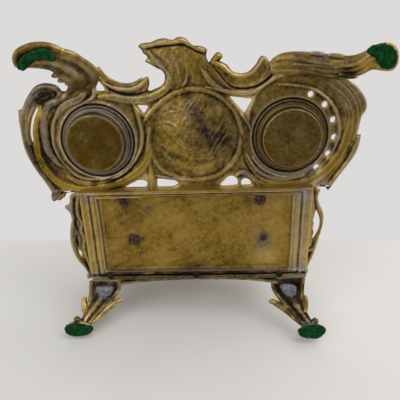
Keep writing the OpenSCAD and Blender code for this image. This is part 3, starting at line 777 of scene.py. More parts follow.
SCROLL_BANDS = [
    # the left scroll, its curl and the bands round the left well
    (2.2, 9.5, .75, [(-112, 99.5, .4), (-119, 101, .8), (-127, 98.5), (-134.5, 91.5, 1.1),
        (-140.5, 80, 1.1), (-143, 66), (-143, 53), (-140.3, 41), (-135.5, 29, .95), (-130.5, 18, .85),
        (-127, 8, .6)]),
    (1.5, 2.4, .8, [(-124.7, 104.2, .5), (-131.7, 100), (-136.7, 93.2), (-139.7, 86.2), (-142.4, 78.1),
        (-143.8, 68.7), (-144.2, 59), (-143.1, 48), (-140.4, 36.6), (-136.2, 26.2), (-131.2, 16.6, .6)]),
    (1.8, 4.2, .7, [(-126, 102.2, .4), (-119.6, 103), (-112.2, 101.3), (-108.6, 98.2), (-108.6, 95.2, .9),
        (-111.5, 93, .5)]),
    (1.2, 1.7, .8, [(-113, 92.7, .5), (-114.2, 97.7), (-117.1, 98.7), (-125.3, 99), (-132.4, 94.2),
        (-136.5, 89.3, .6)]),
    (.6, 1.3, .9, [(-134, 89, .5), (-129, 92.8), (-124.5, 95.4), (-117.5, 96.6, .5)]),
    (.6, 1.3, .9, [(-132, 87.4, .5), (-127.5, 90), (-123, 92.6), (-116.3, 94.6, .5)]),
    (.6, 1.2, .9, [(-129.5, 86.4, .5), (-125, 88), (-119, 91, .5)]),
    (2.8, 8, -1, [(-124, 87.5, .3), (-127.4, 81.8, .7), (-131.2, 74.6, .9), (-133.3, 66.2),
        (-134.5, 56.6), (-134.7, 45.5), (-132.4, 36.5), (-128.3, 28.3), (-122.8, 21.2), (-114.8, 16),
        (-104, 13), (-92.3, 12.8), (-80.7, 14.3, .9), (-70, 17, .5)]),
    (2.6, 6.5, .85, [(-104, 92, .4), (-111.3, 90.3, .8), (-119, 87), (-124.2, 78.8), (-126.4, 69.4),
        (-127.1, 60.9), (-126.3, 51.1), (-123.2, 44.4), (-118.2, 37.5, .9), (-114, 33, .3)]),
    (2.2, 3.2, .5, [(-110, 84, .3), (-113.8, 78.3, .8), (-117.1, 71.1), (-119.2, 62.6), (-119.6, 54),
        (-117.8, 45.1), (-114.2, 37.1), (-110, 32), (-104.6, 26.6), (-98.6, 23.4), (-91, 21.9),
        (-82, 22, .9), (-74, 23.4, .4)]),
    (-.9, 2, .2, [(-115.7, 81.3, .5), (-120.4, 73.1), (-122.3, 63.6), (-122, 53.8), (-119.6, 44.8),
        (-115, 36.8, .9), (-108, 28.8, .4)]),
    (2.0, 7, -.5, [(-113, 25.5, .3), (-104, 20, .8), (-92, 17.6, .9), (-80, 17.2, .6)]),
    (1.2, 3, 1, [(-98, 18.4, .3), (-90, 18.4, .9), (-82, 19, .9), (-76, 20, .3)]),
    (2.2, 4.4, .9, [(-130.4, 5, .8), (-129, 3.4, .8)]),
    (2.2, 4.2, .9, [(-124.6, 6, .8), (-122.8, 5, .8)]),
    (1.8, 3.6, .9, [(-126.6, 11.6, .8), (-124.6, 12, .8)]),
    (1.6, 3.4, .7, [(-118.6, 9.6, .8), (-117.2, 10.6, .8)]),
    # the neck of the left leg and the arm
    (2.8, 8, .6, [(-91, 106, .5), (-88, 97, .9), (-92, 91.6), (-100, 88.8), (-108, 84.5, .8),
        (-114, 77, .4)]),
    (2.4, 4, .5, [(-79.5, 108, .5), (-78.8, 101), (-79.5, 94.5), (-84, 90, .8), (-90, 87.8, .3)]),
    (-1, 2.4, .3, [(-83.5, 106, .4), (-83, 99), (-85.5, 93.5), (-91, 89, .4)]),
    (2.2, 5, .4, [(-99, 104, .5), (-99.5, 98, .9), (-104, 94), (-110, 92, .4)]),
    (2.3, 4.6, .1, [(-73, 107.2, .5), (-68, 103, .9), (-61, 99.6), (-52, 98.4), (-44, 99.6),
        (-38.8, 103.4, .8), (-35.6, 106, .4)]),
    (-1, 2, .3, [(-72, 103.5, .4), (-66, 98.7), (-58, 95), (-50, 93.7), (-42, 94.3, .9), (-34, 97, .4)]),
    (2.4, 7.5, .15, [(-76, 93, .4), (-66, 92.5, .9), (-54, 90), (-42, 89.6), (-30, 92.3), (-22, 97),
        (-17.5, 104, .9), (-17, 112, .4)]),
    (2.2, 4.2, .3, [(-52, 90.5, .4), (-47.4, 85.6, .9), (-44.4, 73.2), (-43.2, 60.6), (-46, 47.7),
        (-53.5, 35.5), (-64, 25.8, .8), (-74, 22, .3)]),
    (1.0, 5, 1, [(-66, 93.5, .3), (-60, 92.5), (-53, 90, .3)]),
    # straps between the left well and the dish
    (2.7, 8, -.75, [(-77, 14.5, .4), (-68, 18, .9), (-58, 23), (-48, 29.5), (-41.5, 37), (-38.6, 46, .9),
        (-38.6, 57, .3)]),
    (2.6, 5.5, -.6, [(-38.5, 34, .4), (-38, 26, .9), (-38, 18), (-38.5, 11)]),
    (1.8, 3, .9, [(-36, 24.5, .3), (-28, 22.4, .9), (-18, 20.3), (-9, 18.8, .4)]),
    (-.9, 2.4, .3, [(-45, 46, .5), (-51, 36), (-61, 26), (-74, 19.5, .4)]),
    # the ring round the dish
    (1.5, 4.4, 0, [(-36, 66, .4), (-37.8, 57, .9), (-37, 47), (-33.5, 37.4), (-26.4, 28.5), (-15.5, 22.6),
        (-3, 19.8), (8, 19.8), (18.5, 22.6), (28.9, 29.4), (36.6, 40), (39.6, 50, .9), (40, 60, .4)]),
    (1.7, 4.6, .1, [(-42, 70, .4), (-36.5, 77, .9), (-29, 84), (-19.4, 91), (-9.1, 95), (1, 96.8),
        (11.5, 95), (20, 91.4), (26.5, 86), (32.5, 79.5), (38.6, 70, .9), (42, 58, .4)]),
    # the crest
    (2.2, 4.6, .1, [(-39.3, 130.2, .5), (-34.1, 130.8), (-24, 132.2), (-13, 133), (-5, 133.2),
        (1.8, 130, .9), (7, 127, .9), (12, 125.5, .6)]),
    (-.8, 1.8, .1, [(-33, 128.3, .5), (-23.9, 129.4), (-12.7, 130), (-5, 130.2), (1.5, 127.3),
        (7, 124.4, .9), (11, 122.8, .4)]),
    (1.9, 5, .9, [(-31.5, 125, .5), (-28.4, 120.6, .9), (-24, 116.6), (-19.8, 111.6), (-16.4, 106),
        (-15.4, 101.6), (-18.6, 98.2, .9), (-26, 95.4, .4)]),
    (1.6, 16, 0, [(-12, 100, .5), (-10, 108, .9), (-14, 117), (-22, 124, .5)]),
    (1.5, 12, -.5, [(5, 102, .5), (3, 112), (-3, 121), (-10, 127, .5)]),
    (1.2, 7, -.4, [(12, 112, .4), (8, 119), (3, 125, .5)]),
    (1.7, 3, .7, [(-21, 123.5, .4), (-16.2, 117.5), (-14.4, 110), (-14.6, 103, .4)]),
    (1.5, 2.6, .6, [(-15.5, 123.5, .4), (-10.8, 118.4), (-9.2, 111), (-10.4, 104, .4)]),
    (1.7, 2.6, .8, [(-4, 120, .3), (-2.4, 113), (-2.8, 108), (-4.4, 102.5), (-7.6, 98, .4)]),
    (1.2, 2.4, .3, [(4, 122, .4), (4, 114), (2.4, 106, .9), (1, 101, .4)]),
    (1.8, 4.5, .35, [(8.5, 113, .4), (11, 108.6, .9), (15, 103), (19.8, 98.4), (26, 95.6, .4)]),
    (2.6, 5, -1, [(17.6, 118, .6), (20.5, 120.5), (23.3, 121, .7)]),
    # the scroll between the crest and the right leg
    (2.2, 3.4, -.1, [(14, 118, .4), (19, 116.4, .9), (25, 113.8), (30, 109.6), (36, 106), (43, 105.8),
        (49, 108.8), (53.4, 113.6), (57.5, 118.5, .6)]),
    (-.8, 7, -1, [(21, 110.5, .4), (26.4, 105.6, .8), (33, 101.8), (42, 100.8), (50, 102.8),
        (56.4, 107.2, .9), (60, 113, .4)]),
    (-1.3, 2, .2, [(19, 113, .4), (23, 107.6, .9), (29, 100.8), (35, 96.8), (44.5, 96), (55, 98.4),
        (63, 104), (66.5, 109, .4)]),
    (2.1, 3.6, .45, [(12, 98, .3), (22, 95.8, .8), (31, 93.6), (44.5, 92), (51, 93.2), (57, 96.8),
        (66.8, 103.2), (78, 106.6), (91, 107.4, .9), (104, 105.5, .4)]),
    # the right well's rings and the border beside them
    (2.1, 3.2, .6, [(70, 98.4, .3), (82.5, 97.5, .8), (93.9, 95), (103.4, 90.3), (113.2, 82.1),
        (119.4, 71.6), (121.6, 60.9), (120.3, 50.1), (116.4, 40.3), (110, 32.3), (101, 25.4),
        (91.8, 20.9), (79.6, 18.6), (68.4, 19.6), (58.3, 24.3), (50.7, 32.3, .9), (45.4, 42.2, .4)]),
    (2.4, 8.5, -.9, [(51, 23, .3), (61, 15.8, .8), (77, 12.8), (94, 13.8), (106.5, 19.3), (117, 28.8),
        (125, 41), (128.6, 53, .8), (129.6, 66, .5)]),
    (2.4, 15, -.1, [(112, 99, .3), (121, 93, .8), (129, 84.5), (133, 75), (134, 63, .9), (133, 50, .4)]),
    (.9, 3, .9, [(121, 103, .4), (128.6, 97.6), (136, 90), (141, 81, .9), (141, 74, .4)]),
    (2.2, 5, .55, [(138, 55, .4), (137, 45), (133.6, 35.5), (128.5, 26.5), (122.5, 17.5),
        (117, 9.5, .6)]),
    (-.3, 2, .1, [(134.6, 50, .4), (132.6, 41), (128, 31), (121, 21), (114.5, 13, .4)]),
    (1.4, 2.2, .6, [(38.6, 77, .4), (43, 72.5), (47.3, 66), (49.6, 59, .4)]),
    (1.6, 4, .2, [(55, 94, .4), (49.4, 86, .9), (46.6, 76), (46.8, 66, .4)]),
    (-.9, 2.2, .2, [(41.8, 43, .4), (44.6, 33.5), (50.4, 24.4), (59.6, 17, .9), (72, 12, .4)]),
    (2.2, 4.5, .6, [(34, 19, .3), (39, 24.4, .9), (45, 24.5), (52, 18.5, .9), (57, 13, .4)])]
DISH_VEINS = [
    (.9, 12, -.7, [(-30, 70, .4), (-22, 62), (-12, 52), (0, 46), (14, 46, .6)]),
    (.7, 10, .5, [(-14, 84, .4), (-4, 76), (8, 72), (20, 76, .6)]),
    (-.7, 9, .8, [(4, 66, .4), (14, 62), (24, 60, .6)]),
    (-.8, 8, .2, [(-26, 50, .4), (-14, 41), (2, 36), (16, 38, .5)]),
    (.6, 1.3, .9, [(4.8, 90, .4), (0, 85.5), (-3.6, 81), (-7.4, 74, .6), (-9, 66, .3)]),
    (.6, 1.2, .9, [(7, 89, .4), (2.6, 84), (-.6, 79), (-3.4, 71, .4)]),
    (.5, 1.2, .9, [(1.6, 90.6, .4), (-3, 86.4), (-6.4, 82), (-10.4, 76, .4)]),
    (.5, 1.2, .8, [(12.4, 87.4, .4), (8, 82), (5.4, 77, .5)]),
    (.6, 1.2, .9, [(35, 68, .4), (28, 60), (22, 52), (17, 44, .4)]),
    (.6, 1.2, .9, [(32, 72, .4), (25.4, 63), (19, 54), (14, 46, .4)]),
    (.5, 1.2, .8, [(28.6, 76, .4), (22, 67), (16, 58, .5)]),
    (.6, 2.2, .8, [(-30, 66, .4), (-24, 71), (-16, 70.4), (-8, 64, .4)]),
    (.5, 2, .5, [(-25, 76, .4), (-18, 80), (-10, 80, .4)])]
DISH_DEPTH = 9.0
FLANGE_R = 35.2
QUILLS = 6
QUILL_FIRST = 66
QUILL_APART = 23
QUILL_ARC = 37
QUILL_R = 2.6


def tray_relief(points):
    """Height and tint of the tray's carving over its flat web, without the dish."""
    height, tint = bands_height(points, SCROLL_BANDS)
    height *= sizes().relief
    # the sunk row of quill holes and the raised strip, both beside the right well; the strip is also
    # tinted pale as a painted highlight
    rel = points - np.array([WELL_X, WELL_V + 1])
    r = np.hypot(*rel.T)
    angle = (np.degrees(np.arctan2(rel[:, 1], rel[:, 0])) + 150) % 360 - 150
    channel = soft_step(r, 30, 31) * soft_step(-r, -40, -38) * soft_step(angle, -72, -64)
    channel *= soft_step(-angle, -95, -70)
    height += (-0.5 - height) * channel
    strip = soft_step(-r, -37.6, -36.4) * soft_step(-angle, 74, 77) * soft_step(angle, -168, -140)
    height += (1.1 - height) * strip
    # painted highlight: the strip's pale tint
    tint = tint + 0.5 * strip
    # the flat lips round both wells
    for x in WELLS.values():
        r = away(points, x, WELL_V)
        lip = soft_step(-r, -34.6, -33)
        height += (np.clip(height, -0.4, 0.5) - height) * lip
        tint += 0.45 * soft_step(-r, -35.5, -33)
    back = np.clip((points[:, 1] - 9.5) / 3, 0, 1)
    return height * back, tint


def dish_bulge(points):
    """How far the dish hangs below the web, and the distance from its middle."""
    r = away(points, *DISH)
    bowl = np.clip(1 - (r / DISH_R) ** 2, 0, 1)
    return np.where(r < DISH_R, DISH_DEPTH * bowl ** 0.9, 0), r


def casting_lower(points, edge):
    """Heights of the carved underside."""
    bulge, r = dish_bulge(points)
    veins = bands_height(points, DISH_VEINS)[0] * (r < DISH_R - 1)
    relief = tray_relief(points)[0] * np.where(r < DISH_R, 0.0, 1.0)
    uneven = 0.22 * mottle(points, 14, 3) + 0.14 * mottle(points, 5, 4) + 0.05 * mottle(points, 2.4, 6)
    low = WEB_LOW - relief - bulge - veins - uneven
    return WEB_TOP - SEAM - (WEB_TOP - SEAM - low) * rounded(edge, 2.6, 0.1)


def casting_upper(points, edge):
    """Heights of the top side, flat round the wells for the pots' flanges."""
    bulge, r = dish_bulge(points)
    rel = points - np.array(DISH)
    flute = np.abs(np.cos(9 * np.arctan2(rel[:, 1], rel[:, 0]))) * 0.9 * np.clip(r / DISH_R, 0, 1)
    dish = np.where(r < DISH_R, -bulge + flute * (r < DISH_R - 2), 0)
    relief = tray_relief(points)[0] * np.where(r < DISH_R, 0.0, 0.8)
    for x in WELLS.values():
        relief[away(points, x, WELL_V) < FLANGE_R] = 0
    top = WEB_TOP - 0.2 + relief + dish
    return WEB_TOP - SEAM + (top - WEB_TOP + SEAM) * rounded(edge, 2.2, 0.1)


# Spots of grey tarnish, and below 0 of clean gold: (across, forward, radius, amount). The strongest,
# beside the right well and near the lower right openings, turn pale as painted highlights.
CASTING_TONES_AND_HIGHLIGHTS = [
    (-125, 93, 10, .4), (-128, 8, 8, .5), (-60, 96, 7, .3), (14, 64, 10, .6), (-2, 84, 9, .3),
    (24, 52, 9, .35), (45, 62, 6, .3), (110, 104, 9, .3), (48, 24, 8, .45), (108, 24, 7, .4),
    (117, 46, 7, .45), (100, 20, 9, .4), (64, 20, 7, .5), (129, 88, 7, .4), (137, 85, 8, .4),
    (-20, 20, 7, .4), (60, 112, 6, .3), (-126, 82, 4, -.9), (0, 118, 10, -.3), (-45, 78, 6, -.4),
    (40, 103, 7, -.5), (95, 88, 6, -.6), (-18, 56, 12, -.5), (101.6, 35, 5, .9), (41, 20, 4, .8),
    (109, 15, 5, .9), (122, 86, 6, .4), (-10, 30, 14, -.3), (20, 121, 6, -1.2), (72, 92, 9, -.5),
    (112, 52, 6, -.3), (-12, 108, 14, -.3)]

# Spots that darken the colour, and where below 0 lighten it as painted highlights: (across, forward,
# radius, amount)
CASTING_DARK_AND_PALE_SPOTS = [
    (-95, 18.6, 4, -.3), (-82, 18.3, 5, -.3), (-41.4, 22, 5, -.5), (-9, 19, 5, -.5), (88, 27, 7, -.5),
    (101.6, 35, 5, -.45), (81, 22, 5, -.4), (70, 19.5, 6, -.35), (109, 15, 6, -.3), (-6, 118, 14, -.06),
    (0, 106, 12, .06), (-120, 98, 14, .24), (-138, 60, 16, .24), (-137, 35, 14, .2), (-80, 22, 16, .22),
    (74, 22, 14, -.24), (-118, 58, 10, -.2), (53, 66, 8, .2), (50, 52, 7, .16), (40, 104, 6, -.25),
    (-128, 80, 4, -.3), (-56, 24, 6, -.1), (124, 84, 9, -.2), (128, 64, 9, -.2), (-12, 58, 12, -.1),
    (20, 60, 9, .04), (6, 32, 10, -.12), (-60, 98, 5, -.2)]


def build_casting():
    """The pierced tray with its carving, dish, quill holes and wells."""
    step = sizes().mesh_step
    outline = smooth_loop(LEFT_SCROLL_EDGE + ARM_EDGE + CREST_EDGE + RIGHT_EDGE, step * 0.8)
    small = [smooth_loop(o, step * 0.7) if len(o) > 6
             else evenly(evenly(np.array(o, float), 2, True), step * 0.7, True) for o in OPENINGS]
    turns = [math.radians(QUILL_FIRST - QUILL_APART * i) for i in range(QUILLS)]
    quill = [circle(WELL_X + QUILL_ARC * math.cos(a), WELL_V + QUILL_ARC * math.sin(a), QUILL_R, 18)
             for a in turns]
    wells = [circle(x, WELL_V, WELL_R, 192) for x in WELLS.values()]
    shell = sheet(outline, small + quill + wells, step, casting_lower, casting_upper,
                  soft_holes=small)
    where = tray_mm(shell[0])
    flat = where[:, :2]
    rim = away(flat, *DISH) - DISH_R
    dish = away(flat, *DISH) < DISH_R
    greys = np.where(dish, bands_height(flat, DISH_VEINS)[1], tray_relief(flat)[1])
    greys += blobs(flat, CASTING_TONES_AND_HIGHLIGHTS)
    calm = 1 - 0.55 * bell(rim, 0, 2.2) - 0.5 * blobs(flat, [(-8, 117, 15, 1)])
    # painted shade: a narrow darker band along the outer edge, then the darker and lighter spots, and the
    # dish a little darker
    soil = 0.6 * bell(to_loops(flat, [outline]), 0, 1.7)
    soil += blobs(flat, CASTING_DARK_AND_PALE_SPOTS) + 0.06 * mottle(flat, 24, 71)
    soil += np.where(dish, 0.1 + 0.05 * mottle(flat, 17, 70), 0)
    greys += np.where(dish, 0.3 * mottle(flat, 30, 73), 0)
    return piece("front_casting_relief", shell, "stand", "gilt_brass", "gilt",
                 ("front_casting",), greys, scale=0.8, calm=calm, soil=soil)


class INKSTAND_OT_casting(Operator):
    """Make the pierced and carved front casting with its shell dish"""
    bl_idname = "inkstand.casting"
    bl_label = "Front casting"

    def execute(self, context):
        build_casting()
        return {"FINISHED"}


# Front legs: broad flutes that run from the tray to the scrolled feet

LEFT_LEG = [
    (-122.5, 127, 6, -123.5, 119.5, 6, 5), (-114, 132.5, 7, -116, 118.5, 7, 7),
    (-102, 134, 8.5, -107, 117.5, 9, 8), (-93, 131.2, 11.5, -101, 115.5, 12, 9),
    (-84.5, 128.3, 17, -98.5, 110, 17, 10), (-79, 123, 23.5, -95.5, 105, 24, 11),
    (-73.5, 116.5, 30.5, -97, 101.5, 31.5, 10), (-72, 110, 35.5, -102, 97.5, 36.5, 8),
    (-77, 101, 38.6, -104, 92, 38.8, 5), (-83, 93, 40.5, -104, 87, 40.5, 3)]
LEFT_TOE = [
    (-122, 119.5, 5, 5, 5), (-122.2, 125, 4.6, 6, 6.5), (-118.5, 129.2, 4.6, 6.2, 7.5),
    (-111, 132.2, 5.2, 6, 8), (-102.5, 132.8, 6.4, 6, 8), (-95.5, 131, 8.2, 5.8, 7),
    (-90.5, 128.4, 11, 5, 5)]
LEFT_BRANCH = [
    (-71.5, 115, 30, 4, 5), (-69, 108.8, 35.5, 4, 5), (-62, 103.5, 38.4, 4, 4), (-53, 100.8, 39.2, 4, 4),
    (-45, 102, 39.4, 4, 4), (-38.5, 106, 39.4, 3, 3)]
LEFT_TEETH = [
    [(-96, 114, 15, 7, 6), (-100, 112.5, 16, 5, 5), (-103, 111.5, 17, 2.4, 3)],
    [(-94, 110, 20, 7, 6), (-98, 108.5, 21, 5, 5), (-101, 107.5, 22, 2.4, 3)],
    [(-92, 106, 25, 7, 6), (-95, 105, 26, 5, 5), (-97.5, 105, 27, 2.4, 3)]]
RIGHT_LEG = [
    (62.5, 115.5, 39.2, 65, 106.5, 40, 4), (66.5, 119.4, 37.6, 69.5, 104.5, 39.4, 6),
    (73, 122, 36, 77, 104.5, 38.8, 8), (84, 122.6, 33.8, 88, 105.5, 37.8, 9.5),
    (95.5, 121.2, 30.6, 98.5, 104.5, 35, 10), (106, 119.8, 26.6, 108.5, 103.6, 30.8, 10),
    (115.5, 118.8, 21.6, 118, 103.6, 25, 10), (121, 119.4, 17, 124.5, 104.4, 19.4, 10),
    (125.5, 121.6, 12.5, 129, 106.8, 14, 10), (130, 125, 9.5, 132.5, 109.5, 10, 9),
    (136, 127.4, 7.5, 139, 108.4, 7.6, 8), (142.4, 126.8, 7, 145.2, 108.6, 7, 7),
    (146.6, 122.8, 6.8, 147.8, 113, 6.8, 5)]
RIGHT_STREAKS = [
    [(80, 113.5, 31.5, 1.5, 1.5), (90, 112.6, 28.6, 2.2, 2), (101, 111.5, 25, 2, 2),
        (110, 110.6, 21.4, 1.2, 1.2)],
    [(92, 121.4, 29.6, 2.5, 3), (97, 120.8, 27.4, 3.5, 3.5), (101, 120.4, 25.4, 2.6, 3)],
    [(104, 119.8, 24, 2.4, 3), (109, 119.2, 21.4, 3.4, 3.4), (114, 118.8, 19, 2.4, 2.4)],
    [(113, 106, 22.5, 3, 3), (119, 104.6, 19.6, 4.4, 4), (124, 104.8, 16, 3, 3)]]
LEG_GREYS = [
    (-86, 116, 8, .35), (-98, 104, 8, .3), (-101, 119, 4, .9), (-80, 104, 6, .4), (95, 114, 9, .1),
    (100, 121.5, 5, 1.5), (84, 121, 5, .5), (118, 111, 9, .1), (126, 113, 5, -1), (75, 114, 8, -.3),
    (134, 126, 4, .5)]
LEG_SOIL = [
    (118, 103.6, 6, .5), (-101, 110, 6, .4), (-78, 121, 6, .1), (95, 112, 12, .1), (-118, 130, 8, .2),
    (-100, 132, 8, .2)]


def build_front_legs():
    """Broad fluted blades with toes, a branch, leaf teeth and worn streaks."""
    shells = [blade(LEFT_LEG, 3, 0.2, lean=0.4), sweep(LEFT_TOE, 28), sweep(LEFT_BRANCH, 20),
              blade(RIGHT_LEG, 4, 0.2, lean=-0.5, seed=8, inner=1.7)]
    shells += [sweep(path, 16) for path in LEFT_TEETH + RIGHT_STREAKS]
    verts, faces = joined(shells)
    where = tray_mm(verts)
    greys = blobs(where, LEG_GREYS)
    soil = blobs(where, LEG_SOIL) + 0.08 * mottle(where * [1, 1.6, 1], 11, 75)
    return piece("front_legs_carved", (verts, faces), "stand", "gilt_brass", "legs",
                 (), greys, scale=1.1, soil=soil)


class INKSTAND_OT_front_legs(Operator):
    """Make the two front legs with their flutes, leaf teeth and scrolled toes"""
    bl_idname = "inkstand.front_legs"
    bl_label = "Front legs"

    def execute(self, context):
        build_front_legs()
        return {"FINISHED"}


# Platform: a panel in a moulded frame

PLATFORM_X = 103.0
PLATFORM_V = (-79.0, 12.0)
FRAME_SIDE = 16.0
FRAME_FRONT = 6.2
FRAME_BACK = 9.0
MOULDING = [
    (0, 31.6), (0.03, 30.3), (0.07, 30.2), (0.12, 30.7), (0.3, 30.7), (0.38, 30.5), (0.43, 29.9),
    (0.48, 30.6), (0.53, 31.9), (0.57, 31.9), (0.62, 31.1), (0.71, 30.7), (0.8, 31.2), (0.86, 31.9),
    (0.91, 31.9), (0.96, 31.2), (1.0, 31.2), (1.04, 32.5), (1.1, 34.8), (1.2, 36.0), (1.5, 36.1)]
LIP_DENTS = [
    (-85, -72.5, 3.5, 1.4), (75, -75, 3.5, 1.2), (88, -74, 3, 1.6), (-40, -73, 5, .6),
    (30, -74, 4, .7), (-60, -75, 3, .8)]
PLATFORM_SOIL = [
    (-62, -4, 12, .12), (-59, -40, 12, .1), (62, -40, 9, .06), (50, 0, 12, .1), (-10, -20, 20, -.05),
    (-30, -60, 16, -.08), (62, -60, 12, -.1)]
PLATFORM_GREYS = [
    (-65, 0, 9, .7), (58, 0, 9, .6), (-59, -37.5, 9, 1.1), (62, -39, 8, 1.1), (-42.9, -6, 4, 1.7),
    (62, -22, 18, .35), (30, -10, 20, .15), (-15, -66, 12, .2), (62, -52, 12, .5), (45, -50, 14, .3),
    (-100, 8, 6, .8), (96, 6, 8, .8), (94, -70, 7, 1), (-98, -73, 6, 1)]
# Tarnish along the side frames, whose thin lines on the frame's steps and edges turn pale, partly as
# residue and partly as a painted highlight: (across, width, amount)
FRAME_STREAKS = [
    (-101, 3, -.5), (-92, 3, .25), (95, 4, .8), (90, 1.5, .4), (-87.4, .8, 1), (86, .8, 1),
    (-96.5, .8, .8), (-102.4, .9, .9)]
SCREW_MARKS = [(-65, 0), (58, 0), (-59, -37.5), (62, -38.5)]


def platform_share(p):
    """How far in from the nearest edge a point lies, as a share of the frame's width there."""
    wave = 0.35 * mottle(p, 60, 12)
    side = (PLATFORM_X - np.abs(p[:, 0]) + wave) / (FRAME_SIDE + np.sign(p[:, 0]))
    front = (PLATFORM_V[1] - p[:, 1] + 0.5 * wave) / FRAME_FRONT
    back = (p[:, 1] - PLATFORM_V[0] + 0.5 * wave) / FRAME_BACK
    return np.clip(np.minimum(np.minimum(side, front), back), 0, None)


def platform_edge(p):
    """Each point's distance to the platform's nearest edge."""
    ends = np.minimum(PLATFORM_V[1] - p[:, 1], p[:, 1] - PLATFORM_V[0])
    return np.minimum(PLATFORM_X - np.abs(p[:, 0]), ends)


def platform_lower(p):
    """Heights of the moulded frame and the panel, with dents in the back lip."""
    share, height = np.array(MOULDING).T
    low = np.interp(platform_share(p), share, height)
    inner = np.clip((platform_share(p) - 1) * 2, 0, 1)
    low = low + 0.10 * mottle(p, 17, 14) + 0.05 * mottle(p, 5, 15)
    for x, v, r, deep in LIP_DENTS:
        low += deep * np.exp(-(((p[:, 0] - x) / 1.8) ** 2 + (p[:, 1] - v) ** 2) / r ** 2 * 2)
    for x, v in SCREW_MARKS:
        low += 0.35 * bell(away(p, x, v), 5.2, 1.1) * inner
    return low + 1.2 * np.exp(-platform_edge(p) / 0.5)


def platform_upper(p):
    """Heights of the top, with two fine grooves along its edge."""
    edge = platform_edge(p)
    rim = 0.7 * bell(edge, 4, 1.1) + 0.5 * bell(edge, 7.5, 0.8)
    return 42.9 - 0.9 * np.exp(-edge / 0.6) - rim * 0.8 + 0.04 * mottle(p, 18, 16)


def stepped(*runs):
    """Grid lines along runs of (start, end, step)."""
    lines = [np.arange(*run) for run in runs]
    return np.unique(np.round(np.hstack([*lines, runs[-1][1]]), 3))


def build_platform():
    """The moulded plate, darker along its back lip and tarnished round its screws."""
    back, front = PLATFORM_V
    xs = stepped((-PLATFORM_X, -85, 0.55), (-85, 85, 1.7), (85, PLATFORM_X, 0.55))
    vs = stepped((back, -68.5, 0.5), (-68.5, 3.2, 1.6), (3.2, front, 0.45))
    shell = plate(xs, vs, platform_lower, platform_upper)
    where = tray_mm(shell[0])
    share = platform_share(where[:, :2])
    calm = 0.7 - 0.55 * np.clip((share - 1.0) / 0.03, 0, 1)
    from_back = where[:, 1] - back
    pits = np.clip(0.85 + 0.3 * mottle(where[:, :2] * [1, 0.3], 23, 18), 0.5, 1)
    below = where[:, 2] < 37
    # darker along the back lip and the front edge, lighter on the side frames and towards the right
    soil = pits * (0.75 * bell(from_back, 6, 1.3) + 0.5 * bell(from_back, 0, 1.1))
    soil += 0.2 * (from_back < 5) + 0.25 * bell(where[:, 1], front, 1.2)
    soil -= 0.16 * (np.abs(where[:, 0]) > 85) + 0.12 * np.clip((where[:, 0] - 45) / 30, 0, 1)
    soil += 0.05 * mottle(where[:, :2], 26, 19) + 0.04 * mottle(where[:, :2] * [0.6, 1], 9, 20)
    soil += blobs(where, PLATFORM_SOIL)
    greys = blobs(where, PLATFORM_GREYS)
    greys += 0.9 * bell(from_back, 2.6, 1.1) + 0.5 * (from_back < 6.5)
    greys += (1.5 + 0.4 * mottle(where[:, :2], 8, 17)) * bell(from_back, 8.8, 1.1)
    for x, wide, amount in FRAME_STREAKS:
        greys += amount * bell(where[:, 0], x, wide) * (from_back > 8)
    greys += 0.4 * bell(where[:, 1], 9, 1.2) + 0.3 * bell(where[:, 1], 4.5, 1)
    greys -= 0.35 * (np.abs(where[:, 0]) < 84) * (where[:, 1] < 0) * (from_back > 12)
    greys = np.where(below, greys, 0.3 * mottle(where, 40, 23))
    soil = np.where(below, soil, 0.04 * mottle(where, 15, 24))
    return piece("platform_moulded", shell, "stand", "plate_brass", "plate",
                 ("platform",), greys, scale=0.6, calm=calm, soil=soil)


class INKSTAND_OT_platform(Operator):
    """Make the platform's panel and its moulded frame"""
    bl_idname = "inkstand.platform"
    bl_label = "Platform"

    def execute(self, context):
        build_platform()
        return {"FINISHED"}


# Side rails: leafy scrolls beside the platform

LEFT_RAIL = [
    (-102, 8), (-110, 8), (-114.5, 6), (-116, 3), (-116.5, -1), (-119, -4), (-121.6, -5.2),
    (-121.5, -7.5), (-119, -10.5), (-117.3, -13.5), (-117.4, -19), (-119.3, -25), (-121, -32),
    (-122, -40), (-121.6, -48), (-119.8, -57), (-116.8, -64), (-113, -70), (-110.4, -76), (-111.8, -80.5),
    (-112, -83.5), (-109, -84.3), (-105, -82.5), (-102, -80), (-101, -40)]
LEFT_RAIL_HOLES = [
    [(-115.9, -51.5), (-114, -52.2), (-112.8, -55), (-113.4, -58), (-115, -57.2)]]
LEFT_RAIL_BANDS = [
    (2.6, 4.5, 0, [(-113, 6, .6), (-115, -2), (-116, -12), (-117.6, -22), (-119.8, -32), (-120.2, -42),
        (-119, -53), (-115.5, -63), (-111, -71, .9), (-108.5, -79, .7)]),
    (2.2, 4, 0, [(-107, 6, .7), (-109.5, -4), (-110, -14, .9), (-107.5, -22, .8), (-109.5, -30),
        (-107.5, -38, .8), (-109.5, -47), (-108.5, -57, .9), (-106.5, -66, .9), (-105.5, -77, .7)]),
    (2.0, 3, 0, [(-117, -6, .8), (-119.5, -6.6), (-121, -6, .6)]),
    (-1.8, 3, 0, [(-113.2, -18, .5), (-114, -23), (-113, -29, .5)]),
    (-1.8, 3.2, 0, [(-114.5, -35, .5), (-115.4, -41), (-114.6, -47, .5)]),
    (-1.5, 2.4, 0, [(-110.5, -62, .5), (-109.5, -67), (-108.3, -73, .5)])]
RIGHT_RAIL = [
    (102, 7), (110, 7), (112, 5), (111.3, 2), (110.5, -2), (112.2, -8), (115, -13.5), (117, -19.5),
    (117.2, -26), (116.3, -34), (114.8, -41), (112.6, -53), (110.3, -62), (107.8, -69), (106.3, -74.5),
    (107.2, -79), (105.5, -82.5), (102, -83.5), (101, -80), (101, -40)]
RIGHT_RAIL_HOLES = [
    [(109.7, -14.6), (111.8, -18), (113.5, -23), (113.9, -29), (112.8, -34.5), (110.9, -39.5),
        (108.9, -43.6), (108.5, -41), (109.3, -37), (108.2, -32.5), (108.8, -28), (107.9, -24),
        (108.8, -19)]]
